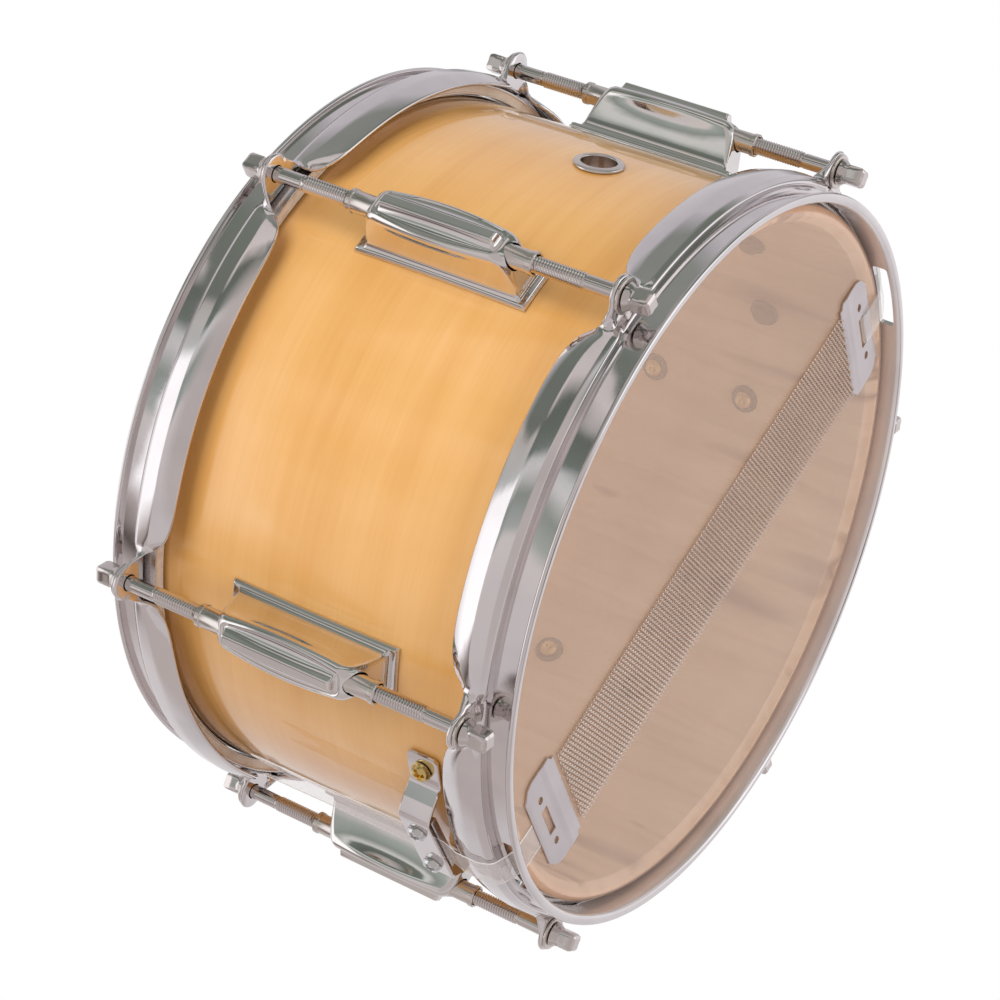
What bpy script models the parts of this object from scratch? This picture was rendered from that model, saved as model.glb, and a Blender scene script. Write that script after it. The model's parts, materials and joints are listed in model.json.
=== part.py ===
"""A 10 inch snare drum: wooden shell, two heads, two flanged hoops, six lugs,
twelve tension rods, and a snare belt held between a butt bracket and a strainer.

Metres, +Z up with the batter head on top. The origin is on the drum's axis, in the
plane of the snare-side hoop's rim, which is what the drum stands on.
"""

import math

import bmesh
import bpy
from mathutils import Matrix, Vector

MM = 0.001

# Driving dimensions, in millimetres. Heights are measured from the shell's mid-plane.
RIM_HALF_HEIGHT = 79.0
SHELL_RADIUS = 126.0
SHELL_WALL = 6.5
SHELL_HALF_HEIGHT = 73.0
BEARING_EDGE_OUTER_DROP = 2.0
BEARING_EDGE_INNER_DROP = 3.0
ROUND_STEPS = 60
GAP = 0.3

HEAD_THICKNESS = 0.3
HEAD_FACE = SHELL_HALF_HEIGHT + GAP + HEAD_THICKNESS
FLESH_HOOP_OUTER = 131.2
FLESH_HOOP_TOP = 67.1
FLESH_HOOP_BOTTOM = 61.4

HOOP_SHEET = 1.6
HOOP_WALL_RADIUS = 129.2
HOOP_LIP_RADIUS = 131.3
HOOP_SHOULDER_RADIUS = 133.2
HOOP_SKIRT_RADIUS = 134.2
HOOP_SKIRT_EDGE = 55.0
EAR_FACE = 66.3
EAR_HALF_WIDTH = 7.0
EAR_HOLE_RADIUS = 3.8

LUG_COUNT = 6
ROD_CIRCLE = 140.0
ROD_RADIUS = 2.95
ROD_INNER_END = 18.0
ROD_TIP = 76.7
ROD_SIDES = 10
KEY_SQUARE = 6.2
COLLAR_RADIUS = 5.1
WASHER_RADIUS = 6.0
WASHER_THICKNESS = 1.1
WASHER_BORE = 3.4

LUG_TOP = 147.5
LUG_BASE_LENGTH = 65.0
LUG_BASE_WIDTH = 17.5
LUG_BASE_THICKNESS = 1.6
LUG_BORE = 5.3
NUT_RADIUS = 4.0
NUT_COLLAR_RADIUS = 4.8
NUT_BORE = 3.42
NUT_END = 35.2

SNARE_AZIMUTH = 150.0
GATE_HALF_WIDTH = 16.0
GATE_LOW = 70.9
GATE_HIGH = 76.8
BELT_HALF_LENGTH = 98.0
BELT_WIDTH = 43.0
BELT_THICKNESS = 2.2
END_PLATE_OUTER = 116.5
END_PLATE_HALF_LENGTH = 26.5
END_PLATE_THICKNESS = 0.6
END_PLATE_LIFT = 0.35
STRAP_WIDTH = 14.5
STRAP_THICKNESS = 0.5
STRAP_LEAVES_BRACKET = -50.0
STRAP_LEAVES_CLAMP = -46.4
STRAP_SLOT_LENGTH = 15.4
STRAP_SLOT_INNER = 108.3
STRAP_SLOT_OUTER = 111.7
CORD_HOLE_OFFSET = 13.6

BRACKET_CENTRE_Z = -42.5
BRACKET_WIDTH = 12.0
BRACKET_SHEET = 1.5
BRACKET_FACE = 136.2
BRACKET_HALF_SPAN = 17.5
BRACKET_FOOT_NEAR = 11.0
BRACKET_FOOT_FAR = 17.0
CLAMP_SCREW_OFFSET = 11.0
FOOT_SCREW_ANGLE = 14.4

VENT_AZIMUTH = -88.5
VENT_Z = -11.0
VENT_FLANGE = 8.75
VENT_BORE = 5.8

KNOB_AXIS = 137.0
LEVER_PIVOT = (138.5, 9.5)

SHARP_ANGLE = math.radians(32)

parts = None
cutters = None


def clear_scene():
    for obj in list(bpy.data.objects):
        bpy.data.objects.remove(obj, do_unlink=True)


def make_collection(name):
    collection = bpy.data.collections.new(name)
    bpy.context.scene.collection.children.link(collection)
    return collection


def material(name, colour, roughness, metallic):
    mat = bpy.data.materials.new(name)
    mat.use_nodes = True
    shader = mat.node_tree.nodes["Principled BSDF"]
    shader.inputs["Base Color"].default_value = (*colour, 1.0)
    shader.inputs["Roughness"].default_value = roughness
    shader.inputs["Metallic"].default_value = metallic
    return mat


def empty(name, location=(0, 0, 0), rotation=(0, 0, 0), parent=None):
    obj = bpy.data.objects.new(name, None)
    parts.objects.link(obj)
    obj.location = Vector(location) * MM
    obj.rotation_euler = rotation
    obj.parent = parent
    return obj


def add_mesh(name, mesh, mat, parent=None, location=(0, 0, 0), rotation=(0, 0, 0)):
    obj = bpy.data.objects.new(name, mesh)
    parts.objects.link(obj)
    if mat is not None:
        mesh.materials.clear()
        mesh.materials.append(mat)
    obj.location = Vector(location) * MM
    obj.rotation_euler = rotation
    obj.parent = parent
    return obj


def shade_round(mesh):
    mesh.shade_smooth()
    mesh.set_sharp_from_angle(angle=SHARP_ANGLE)


def profile_mesh(name, points, closed):
    """A polyline in the XZ plane, ready for a Screw modifier about Z."""
    mesh = bpy.data.meshes.new(name)
    verts = [(x * MM, 0.0, z * MM) for x, z in points]
    edges = [(i, i + 1) for i in range(len(points) - 1)]
    if closed:
        edges.append((len(points) - 1, 0))
    mesh.from_pydata(verts, edges, [])
    return mesh


def turn(obj, steps):
    screw = obj.modifiers.new("Turn", "SCREW")
    screw.axis = "Z"
    screw.angle = 2 * math.pi
    screw.steps = steps
    screw.render_steps = steps
    screw.use_merge_vertices = True
    screw.merge_threshold = 0.00001
    screw.use_smooth_shade = True
    return obj


def turned(name, points, closed, steps, mat, **place):
    """A turned piece: an outline at +X, run down its outer side, spun about Z."""
    return turn(add_mesh(name, profile_mesh(name, points, closed), mat, **place), steps)


def baked(obj, name):
    """The evaluated mesh of a piece in its own axes, as a new mesh."""
    bpy.context.view_layer.update()
    graph = bpy.context.evaluated_depsgraph_get()
    mesh = bpy.data.meshes.new_from_object(obj.evaluated_get(graph))
    mesh.name = name
    shade_round(mesh)
    return mesh


def discard(obj):
    bpy.data.objects.remove(obj, do_unlink=True)


def make_cutter(obj):
    for collection in obj.users_collection:
        collection.objects.unlink(obj)
    cutters.objects.link(obj)
    obj.hide_render = True
    obj.display_type = "WIRE"
    return obj


def boolean(obj, tool, operation):
    mod = obj.modifiers.new(operation.title(), "BOOLEAN")
    mod.operation = operation
    mod.solver = "EXACT"
    mod.object = tool
    return obj


def cut(obj, *tools):
    for tool in tools:
        boolean(obj, make_cutter(tool), "DIFFERENCE")
    return obj


def join(obj, *tools):
    for tool in tools:
        boolean(obj, make_cutter(tool), "UNION")
    return obj


def box(name, low, high, mat=None, parent=None, bevel=0.0, segments=1):
    """A cube primitive between two corners, with an optional bevel on its edges."""
    bm = bmesh.new()
    bmesh.ops.create_cube(bm, size=1.0)
    size = [h - l for l, h in zip(low, high)]
    middle = [(h + l) / 2 for l, h in zip(low, high)]
    bmesh.ops.scale(bm, vec=[s * MM for s in size], verts=bm.verts)
    bmesh.ops.translate(bm, vec=[m * MM for m in middle], verts=bm.verts)
    mesh = bpy.data.meshes.new(name)
    bm.to_mesh(mesh)
    bm.free()
    obj = add_mesh(name, mesh, mat, parent)
    if bevel:
        mod = obj.modifiers.new("Bevel", "BEVEL")
        mod.width = bevel * MM
        mod.segments = segments
        mod.limit_method = "ANGLE"
    return obj


def cylinder(name, radius, length, centre, axis, sides, mat=None, parent=None):
    """A cylinder primitive about one of the local axes, with its flats facing them."""
    bm = bmesh.new()
    bmesh.ops.create_cone(bm, cap_ends=True, segments=sides, radius1=radius * MM,
                          radius2=radius * MM, depth=length * MM)
    half_side = Matrix.Rotation(math.pi / sides, 3, "Z")
    bmesh.ops.rotate(bm, matrix=half_side, verts=bm.verts)
    turn_to = {"X": Matrix.Rotation(math.pi / 2, 3, "Y"),
               "Y": Matrix.Rotation(-math.pi / 2, 3, "X"),
               "Z": Matrix.Identity(3)}[axis]
    bmesh.ops.rotate(bm, matrix=turn_to, verts=bm.verts)
    bmesh.ops.translate(bm, vec=Vector(centre) * MM, verts=bm.verts)
    mesh = bpy.data.meshes.new(name)
    bm.to_mesh(mesh)
    bm.free()
    return add_mesh(name, mesh, mat, parent)


def loft(name, rings, mat=None, parent=None, wrap=False):
    """A skin over rings of equal length: wrapped into a torus, or capped at both ends."""
    bm = bmesh.new()
    rows = [[bm.verts.new(Vector(p) * MM) for p in ring] for ring in rings]
    count = len(rows[0])
    pairs = list(zip(rows, rows[1:]))
    if wrap:
        pairs.append((rows[-1], rows[0]))
    for low, high in pairs:
        for i in range(count):
            j = (i + 1) % count
            bm.faces.new((low[i], low[j], high[j], high[i]))
    if not wrap:
        bm.faces.new(list(reversed(rows[0])))
        bm.faces.new(rows[-1])
    bmesh.ops.recalc_face_normals(bm, faces=bm.faces)
    mesh = bpy.data.meshes.new(name)
    bm.to_mesh(mesh)
    bm.free()
    return add_mesh(name, mesh, mat, parent)


def polar(radius, degrees, z):
    a = math.radians(degrees)
    return (radius * math.cos(a), radius * math.sin(a), z)


def smoothstep(x):
    x = min(max(x, 0.0), 1.0)
    return x * x * (3 - 2 * x)


def mix(a, b, w):
    return a + (b - a) * w


def build_shell(mats, root):
    inner = SHELL_RADIUS - SHELL_WALL
    top = SHELL_HALF_HEIGHT
    edge_out = SHELL_RADIUS - 2.2
    edge_in = edge_out - 1.2
    upper = [(edge_in, top), (edge_out, top), (SHELL_RADIUS, top - BEARING_EDGE_OUTER_DROP)]
    lower = [(r, -z) for r, z in reversed(upper)]
    bore = [(inner, -top + BEARING_EDGE_INNER_DROP), (inner, top - BEARING_EDGE_INNER_DROP)]
    shell = turned("shell", upper + lower + bore, True, ROUND_STEPS, mats["maple"], parent=root)
    holes = []
    vent = cylinder("vent_hole", VENT_BORE + 1.35, 30, (SHELL_RADIUS, 0, VENT_Z), "X", 16)
    vent.rotation_euler.z = math.radians(VENT_AZIMUTH)
    holes.append(vent)
    for side in (-1, 1):
        hole = cylinder(f"foot_hole_{side}", 2.2, 30, (SHELL_RADIUS, 0, BRACKET_CENTRE_Z), "X", 8)
        hole.rotation_euler.z = math.radians(SNARE_AZIMUTH + side * FOOT_SCREW_ANGLE)
        holes.append(hole)
    for hole in holes:
        hole.parent = root
    cut(shell, *holes)


def build_vent(mats, root):
    barrel = VENT_BORE + 0.9
    seat = SHELL_RADIUS + 0.35
    inside = SHELL_RADIUS - SHELL_WALL - 0.75
    outline = [(VENT_BORE + 0.5, seat + 1.5), (VENT_FLANGE - 1.2, seat + 1.3),
               (VENT_FLANGE, seat + 0.4), (VENT_FLANGE, seat), (barrel, seat), (barrel, inside),
               (VENT_FLANGE - 0.8, inside), (VENT_FLANGE - 0.8, inside - 0.8),
               (VENT_BORE, inside - 0.8), (VENT_BORE, seat + 1.0)]
    axis = empty("vent_axis", rotation=(0, 0, math.radians(VENT_AZIMUTH)), parent=root)
    turned("vent_grommet", outline, True, 16, mats["nickel"], parent=axis,
           location=(0, 0, VENT_Z), rotation=(0, math.pi / 2, 0))


def build_heads(mats, root):
    """A head is a film with a short collar that runs down into its metal flesh hoop."""
    under = HEAD_FACE - HEAD_THICKNESS
    collar_in = SHELL_RADIUS + GAP
    collar_out = collar_in + HEAD_THICKNESS
    end = FLESH_HOOP_BOTTOM + 1.6
    film = [(0, HEAD_FACE), (124.15, HEAD_FACE), (collar_out, 71.35), (collar_out, end),
            (collar_in, end), (collar_in, 71.2), (124.0, under), (0, under)]
    ring_in = collar_out + GAP
    ring = [(ring_in, FLESH_HOOP_TOP), (FLESH_HOOP_OUTER, FLESH_HOOP_TOP),
            (FLESH_HOOP_OUTER, FLESH_HOOP_BOTTOM), (ring_in, FLESH_HOOP_BOTTOM)]
    for side, flip in (("batter", 0.0), ("snare", math.pi)):
        turned(f"head_{side}", film, False, ROUND_STEPS, mats[f"film_{side}"],
               parent=root, rotation=(flip, 0, 0))
        turned(f"flesh_hoop_{side}", ring, True, ROUND_STEPS, mats["aluminium"],
               parent=root, rotation=(flip, 0, 0))


def hoop_section(offset):
    """The hoop's mid-line, in radius and height, at an angle from the nearest ear.

    The sheet runs from the outward lip, down the wall and over the shoulder. Its last
    stretch is a flat tab at an ear and a skirt that hangs down between two ears.
    """
    away = abs(offset)
    bend = smoothstep((away - 2.4) / 4.2)
    along = ROD_CIRCLE * math.sin(math.radians(away))
    reach = math.sqrt(max(EAR_HALF_WIDTH ** 2 - along ** 2, 0.0))
    tab_end = ROD_CIRCLE + max(reach, 1.0 - along * 0.15)
    drape = smoothstep((away - 5.0) / 16.0)
    edge = mix(61.5, HOOP_SKIRT_EDGE, drape)
    tab_z = EAR_FACE - HOOP_SHEET / 2
    return [
        (HOOP_LIP_RADIUS, RIM_HALF_HEIGHT - HOOP_SHEET / 2),
        (HOOP_WALL_RADIUS, RIM_HALF_HEIGHT - HOOP_SHEET / 2),
        (HOOP_WALL_RADIUS, 69.0),
        (mix(131.9, HOOP_SHOULDER_RADIUS, bend), mix(68.4, 68.2, bend)),
        (mix(133.3, HOOP_SKIRT_RADIUS, bend), mix(tab_z, 66.6, bend)),
        (mix(tab_end, HOOP_SKIRT_RADIUS, bend), mix(tab_z, edge, bend)),
    ]


def thicken(line, thickness):
    """A closed outline around a 2D line, with mitred corners."""
    half = thickness / 2
    left = []
    right = []
    for i, point in enumerate(line):
        before = line[max(i - 1, 0)]
        after = line[min(i + 1, len(line) - 1)]
        d1 = Vector((point[0] - before[0], point[1] - before[1]))
        d2 = Vector((after[0] - point[0], after[1] - point[1]))
        if d1.length == 0:
            d1 = d2
        if d2.length == 0:
            d2 = d1
        d1.normalize()
        d2.normalize()
        n1 = Vector((-d1.y, d1.x))
        n2 = Vector((-d2.y, d2.x))
        normal = (n1 + n2).normalized()
        reach = half / max(normal.dot(n1), 0.5)
        left.append((point[0] + normal.x * reach, point[1] + normal.y * reach))
        right.append((point[0] - normal.x * reach, point[1] - normal.y * reach))
    return left + right[::-1]


def hoop_mesh():
    half_sector = 180.0 / LUG_COUNT
    steps = [0.0, 1.7, 2.9, 4.4, 6.4, 12.0, 20.0]
    offsets = [-s for s in reversed(steps[1:])] + steps + [half_sector]
    rings = []
    for k in range(LUG_COUNT):
        for offset in offsets:
            azimuth = k * 2 * half_sector + offset
            outline = thicken(hoop_section(offset), HOOP_SHEET)
            rings.append([polar(r, azimuth, z) for r, z in outline])
    blank = loft("hoop_blank", rings, wrap=True)
    for k in range(LUG_COUNT):
        x, y, z = polar(ROD_CIRCLE, k * 2 * half_sector, EAR_FACE)
        cut(blank, cylinder(f"ear_hole_{k}", EAR_HOLE_RADIUS, 12, (x, y, z), "Z", 12))
    mesh = baked(blank, "hoop")
    discard(blank)
    return mesh


def build_hoops(mats, root):
    mesh = hoop_mesh()
    add_mesh("hoop_batter", mesh, mats["chrome"], root)
    snare = add_mesh("hoop_snare", mesh, None, root, rotation=(math.pi, 0, 0))
    for side in (0, 180):
        gate = box(f"gate_{side}", (HOOP_WALL_RADIUS - 6, -GATE_HALF_WIDTH, -GATE_HIGH),
                   (HOOP_WALL_RADIUS + 4, GATE_HALF_WIDTH, -GATE_LOW), parent=root)
        gate.rotation_euler.z = math.radians(SNARE_AZIMUTH + side)
        cut(snare, gate)


def lug_ring(level, half_width, half_length, corner):
    """One rounded-rectangle contour of the lug, at a radius from the drum's axis."""
    points = []
    for sy, sz in ((1, 1), (1, -1), (-1, -1), (-1, 1)):
        first = (level, sy * half_width, sz * (half_length - corner))
        second = (level, sy * (half_width - corner), sz * half_length)
        points += [second, first] if sy * sz > 0 else [first, second]
    return points


def lug_mesh():
    """A die-cast lug: a low flange on the shell, and a hollow boat-shaped box on it."""
    flange_rings = []
    half = math.degrees(LUG_BASE_WIDTH / 2 / SHELL_RADIUS)
    low = SHELL_RADIUS + 0.35
    high = low + LUG_BASE_THICKNESS
    for end in (-1, 1):
        z = end * LUG_BASE_LENGTH / 2
        under = [polar(low, a, z) for a in (-half, 0, half)]
        over = [polar(high, a, z) for a in (half, 0, -half)]
        flange_rings.append(under + over)
    flange = loft("lug_flange", flange_rings)
    levels = [
        (low + 0.7, 6.9, 29.4, 1.0),
        (131.5, 5.9, 28.4, 1.6),
        (138.5, 6.3, 27.0, 2.0),
        (143.5, 7.4, 25.6, 2.6),
        (146.3, 5.2, 23.2, 2.4),
        (LUG_TOP, 1.9, 20.6, 0.9),
    ]
    body = loft("lug_body", [lug_ring(*level) for level in levels])
    join(body, flange)
    bore_length = 80
    cut(body, cylinder("lug_bore", LUG_BORE, bore_length, (ROD_CIRCLE, 0, 0), "Z", 12))
    mesh = baked(body, "lug")
    discard(body)
    return mesh


def insert_mesh():
    """Two tube nuts back to back, with the core that keeps them apart, in one turning."""
    half = [(NUT_BORE, NUT_END), (NUT_RADIUS, NUT_END), (NUT_RADIUS, 20.0),
            (NUT_COLLAR_RADIUS, 19.0), (NUT_COLLAR_RADIUS, 15.0), (NUT_RADIUS, 14.0)]
    outer = half + [(r, -z) for r, z in reversed(half)]
    depth = ROD_INNER_END - 2.0
    blank = turned("insert_blank", [(0, depth), (NUT_BORE, depth)] + outer
                   + [(NUT_BORE, -depth), (0, -depth)], False, ROD_SIDES, None)
    mesh = baked(blank, "nut_insert")
    discard(blank)
    return mesh


def rod_mesh():
    """A tension rod: shank, flanged collar and a square key head, standing on +Z."""
    seat = EAR_FACE + WASHER_THICKNESS + 0.2
    outline = [(0, ROD_TIP - 3.0), (2.6, ROD_TIP - 3.0), (3.1, seat + 3.4),
               (COLLAR_RADIUS - 1.0, seat + 1.7), (COLLAR_RADIUS, seat + 1.0),
               (COLLAR_RADIUS, seat), (ROD_RADIUS, seat), (ROD_RADIUS, ROD_INNER_END + 1.0),
               (ROD_RADIUS - 0.8, ROD_INNER_END), (0, ROD_INNER_END)]
    blank = turned("rod_blank", outline, False, ROD_SIDES, None)
    half = KEY_SQUARE / 2
    join(blank, box("key_square", (-half, -half, seat + 2.6), (half, half, ROD_TIP), bevel=0.6))
    mesh = baked(blank, "tension_rod")
    discard(blank)
    return mesh


def washer_mesh():
    low = EAR_FACE + 0.1
    high = low + WASHER_THICKNESS - 0.2
    outline = [(WASHER_BORE, high), (WASHER_RADIUS, high), (WASHER_RADIUS, low), (WASHER_BORE, low)]
    blank = turned("washer_blank", outline, True, ROD_SIDES, None)
    mesh = baked(blank, "washer")
    discard(blank)
    return mesh


def build_tension(mats, root):
    """Six lugs, and for each one its insert, two tension rods and two washers."""
    lug = lug_mesh()
    insert = insert_mesh()
    rod = rod_mesh()
    washer = washer_mesh()
    for k in range(LUG_COUNT):
        angle = math.radians(k * 360.0 / LUG_COUNT)
        number = k + 1
        station = empty(f"lug_station_{number}", rotation=(0, 0, angle), parent=root)
        add_mesh(f"lug_{number}", lug, mats["chrome_cast"], station)
        axis = empty(f"rod_axis_{number}", (ROD_CIRCLE, 0, 0), parent=station)
        add_mesh(f"nut_insert_{number}", insert, mats["nickel"], axis)
        for side, flip in (("batter", 0.0), ("snare", math.pi)):
            turn_over = (flip, 0, 0)
            add_mesh(f"rod_{side}_{number}", rod, mats["steel"], axis, rotation=turn_over)
            add_mesh(f"washer_{side}_{number}", washer, mats["nickel"], axis, rotation=turn_over)


def strap_points(tail, leave):
    """The strap's mid-line, in distance from the drum's axis and height. It leaves its clamp
    at the height `leave`, and stands clear of the hoop's skirt from 5 mm below that."""
    over_plate = -(HEAD_FACE + END_PLATE_LIFT + END_PLATE_THICKNESS + 0.6)
    return tail + [
        (134.15, leave), (134.7, leave - 2.6), (135.75, leave - 5.0), (135.8, -60.0),
        (135.75, -65.5),
        (134.95, -68.4), (133.0, -70.0), (130.6, -71.4), (129.2, -72.3), (127.2, -73.6),
        (123.6, over_plate + 0.35), (117.5, over_plate), (112.2, over_plate),
        (110.6, over_plate + 0.25), (110.0, over_plate + 1.0),
    ]


def strip(name, middle_line, across, thickness, mat=None, parent=None):
    """A bent strip along its mid-line, given its thickness by Solidify."""
    bm = bmesh.new()
    rows = []
    for point in middle_line:
        centre = Vector(point)
        rows.append([bm.verts.new((centre + side * Vector(across)) * MM) for side in (-1, 1)])
    for a, b in zip(rows, rows[1:]):
        bm.faces.new((a[0], a[1], b[1], b[0]))
    mesh = bpy.data.meshes.new(name)
    bm.to_mesh(mesh)
    bm.free()
    obj = add_mesh(name, mesh, mat, parent)
    mod = obj.modifiers.new("Thickness", "SOLIDIFY")
    mod.thickness = thickness * MM
    mod.offset = 0.0
    mod.use_even_offset = True
    return obj


def strap(name, tail, leave, mat, parent):
    line = [(n, 0.0, z) for n, z in strap_points(tail, leave)]
    return strip(name, line, (0, STRAP_WIDTH / 2, 0), STRAP_THICKNESS, mat, parent)


def plate_outline(name, loops, thickness, mat, parent, height):
    """A flat sheet from 2D outlines: the first is its edge, the others are holes."""
    curve = bpy.data.curves.new(name, "CURVE")
    curve.dimensions = "2D"
    curve.fill_mode = "BOTH"
    curve.extrude = thickness / 2 * MM
    for loop in loops:
        spline = curve.splines.new("POLY")
        spline.points.add(len(loop) - 1)
        spline.use_cyclic_u = True
        for point, (x, y) in zip(spline.points, loop):
            point.co = (x * MM, y * MM, 0.0, 1.0)
    guide = bpy.data.objects.new(name + "_outline", curve)
    parts.objects.link(guide)
    mesh = baked(guide, name)
    discard(guide)
    bm = bmesh.new()
    bm.from_mesh(mesh)
    bmesh.ops.remove_doubles(bm, verts=bm.verts, dist=0.00001)
    bmesh.ops.recalc_face_normals(bm, faces=bm.faces)
    bm.to_mesh(mesh)
    bm.free()
    return add_mesh(name, mesh, mat, parent, location=(0, 0, height))


def slot_loop(cx, cy, half_x, half_y, chamfer):
    """A rectangle with clipped corners, run clockwise."""
    return [(cx - half_x, cy - half_y + chamfer), (cx - half_x, cy + half_y - chamfer),
            (cx - half_x + chamfer, cy + half_y), (cx + half_x - chamfer, cy + half_y),
            (cx + half_x, cy + half_y - chamfer), (cx + half_x, cy - half_y + chamfer),
            (cx + half_x - chamfer, cy - half_y), (cx - half_x + chamfer, cy - half_y)]


def build_snares(mats, root):
    """The wire belt with its two end plates, and the straps that hold it."""
    line = empty("snare_line", rotation=(0, 0, math.radians(SNARE_AZIMUTH)), parent=root)
    plate_z = -(HEAD_FACE + END_PLATE_LIFT + END_PLATE_THICKNESS / 2)
    pivot = ((STRAP_SLOT_INNER + STRAP_SLOT_OUTER) / 2, 0, plate_z)
    hinge = empty("belt_hinge", pivot, parent=line)
    top = -(HEAD_FACE + GAP)
    belt = box("snare_wires", (-BELT_HALF_LENGTH, -BELT_WIDTH / 2, top - BELT_THICKNESS),
               (BELT_HALF_LENGTH, BELT_WIDTH / 2, top), mats["wire"], hinge)
    belt.location = -Vector(pivot) * MM
    inner = BELT_HALF_LENGTH + GAP
    outer = END_PLATE_OUTER
    half = END_PLATE_HALF_LENGTH
    edge = [(inner, -half + 2.5), (inner + 3, -half), (outer - 6, -half), (outer, -half + 7),
            (outer, half - 7), (outer - 6, half), (inner + 3, half), (inner, half - 2.5)]
    middle = (STRAP_SLOT_INNER + STRAP_SLOT_OUTER) / 2
    slot_depth = STRAP_SLOT_OUTER - STRAP_SLOT_INNER
    loops = [edge, slot_loop(middle, 0, slot_depth / 2, STRAP_SLOT_LENGTH / 2, 0.3)]
    for side in (-1, 1):
        loops.append(slot_loop(middle, side * CORD_HOLE_OFFSET, 1.0, 2.2, 0.7))
    for name, turn_z in (("end_plate_butt", 0.0), ("end_plate_strainer", math.pi)):
        plate = plate_outline(name, loops, END_PLATE_THICKNESS, mats["steel_plate"], hinge, 0)
        plate.location = -Vector((pivot[0], 0, 0)) * MM
        plate.rotation_euler.z = turn_z
    butt_tail = [(134.15, 28.0), (134.15, -36.0)]
    butt = strap("strap_butt", butt_tail, STRAP_LEAVES_BRACKET, mats["plastic"], line)
    half_strap = STRAP_WIDTH / 2
    notch = plate_outline("tail_notch", [[(28.5, half_strap - 1.0), (28.5, -half_strap + 1.0),
                                          (12.0, 0.5)]], 4.0, None, line, 0)
    notch.matrix_local = Matrix.Translation((134.15 * MM, 0, 0)) @ Matrix.Rotation(
        -math.pi / 2, 4, "Y")
    cut(butt, notch)
    other = empty("strainer_line", rotation=(0, 0, math.radians(SNARE_AZIMUTH + 180)), parent=root)
    strap("strap_strainer", [(134.15, -40.9)], STRAP_LEAVES_CLAMP, mats["plastic"], other)


def screw_piece(name, head_radius, head_height, shank_radius, shank_length, mat, parent,
                location, rotation):
    """A pan-head screw along +Z, its head's seat at the origin."""
    outline = [(0, head_height), (head_radius * 0.62, head_height * 0.9),
               (head_radius, head_height * 0.4), (head_radius, 0), (shank_radius, 0),
               (shank_radius, -shank_length), (0, -shank_length)]
    return turned(name, outline, False, 10, mat, parent=parent, location=location,
                  rotation=rotation)


def build_butt(mats, root):
    """The butt bracket: a bent strip on two feet, a bar behind it, and four screws."""
    line = empty("butt_line", rotation=(0, 0, math.radians(SNARE_AZIMUTH)), parent=root)
    sheet = BRACKET_SHEET
    foot_radius = SHELL_RADIUS + 0.5 + sheet / 2
    face = BRACKET_FACE - sheet / 2
    half = BRACKET_HALF_SPAN
    side = []
    for angle in (BRACKET_FOOT_FAR, BRACKET_FOOT_NEAR):
        x, y, _ = polar(foot_radius, angle, 0)
        side.append((x, y))
    side += [(face - 1.0, half + 0.6), (face, half - 0.8)]
    path = side + [(x, -y) for x, y in reversed(side)]
    bracket = strip("butt_bracket", [(x, y, BRACKET_CENTRE_Z) for x, y in path],
                    (0, 0, BRACKET_WIDTH / 2), sheet, mats["chrome"], line)
    bar = box("butt_clamp_bar", (130.6, -15, BRACKET_CENTRE_Z - 5),
              (133.6, 15, BRACKET_CENTRE_Z + 5), mats["steel_plate"], line)
    for number, sign in ((1, 1), (2, -1)):
        at = (BRACKET_FACE + 0.3, sign * CLAMP_SCREW_OFFSET, BRACKET_CENTRE_Z)
        screw_piece(f"butt_clamp_screw_{number}", 3.4, 2.2, 1.7, 4.6, mats["screw_chrome"], line,
                    at, (0, math.pi / 2, 0))
        hole = cylinder(f"clamp_hole_{number}", 2.1, 8, (BRACKET_FACE, at[1], at[2]), "X", 10,
                        parent=line)
        cut(bracket, hole)
        socket = cylinder(f"bar_hole_{number}", 2.1, 4, (133.8, at[1], at[2]), "X", 10,
                          parent=line)
        cut(bar, socket)
        angle = math.radians(sign * FOOT_SCREW_ANGLE)
        foot = empty(f"foot_axis_{number}", rotation=(0, 0, angle), parent=line)
        seat = SHELL_RADIUS + 0.5 + sheet + GAP
        screw_piece(f"butt_foot_screw_{number}", 3.6, 2.6, 1.8, 13.0, mats["brass"], foot,
                    (seat, 0, BRACKET_CENTRE_Z), (0, math.pi / 2, 0))
        cut(bracket, cylinder(f"foot_screw_hole_{number}", 2.2, 8,
                              (seat - 1, 0, BRACKET_CENTRE_Z), "X", 10, parent=foot))


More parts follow.
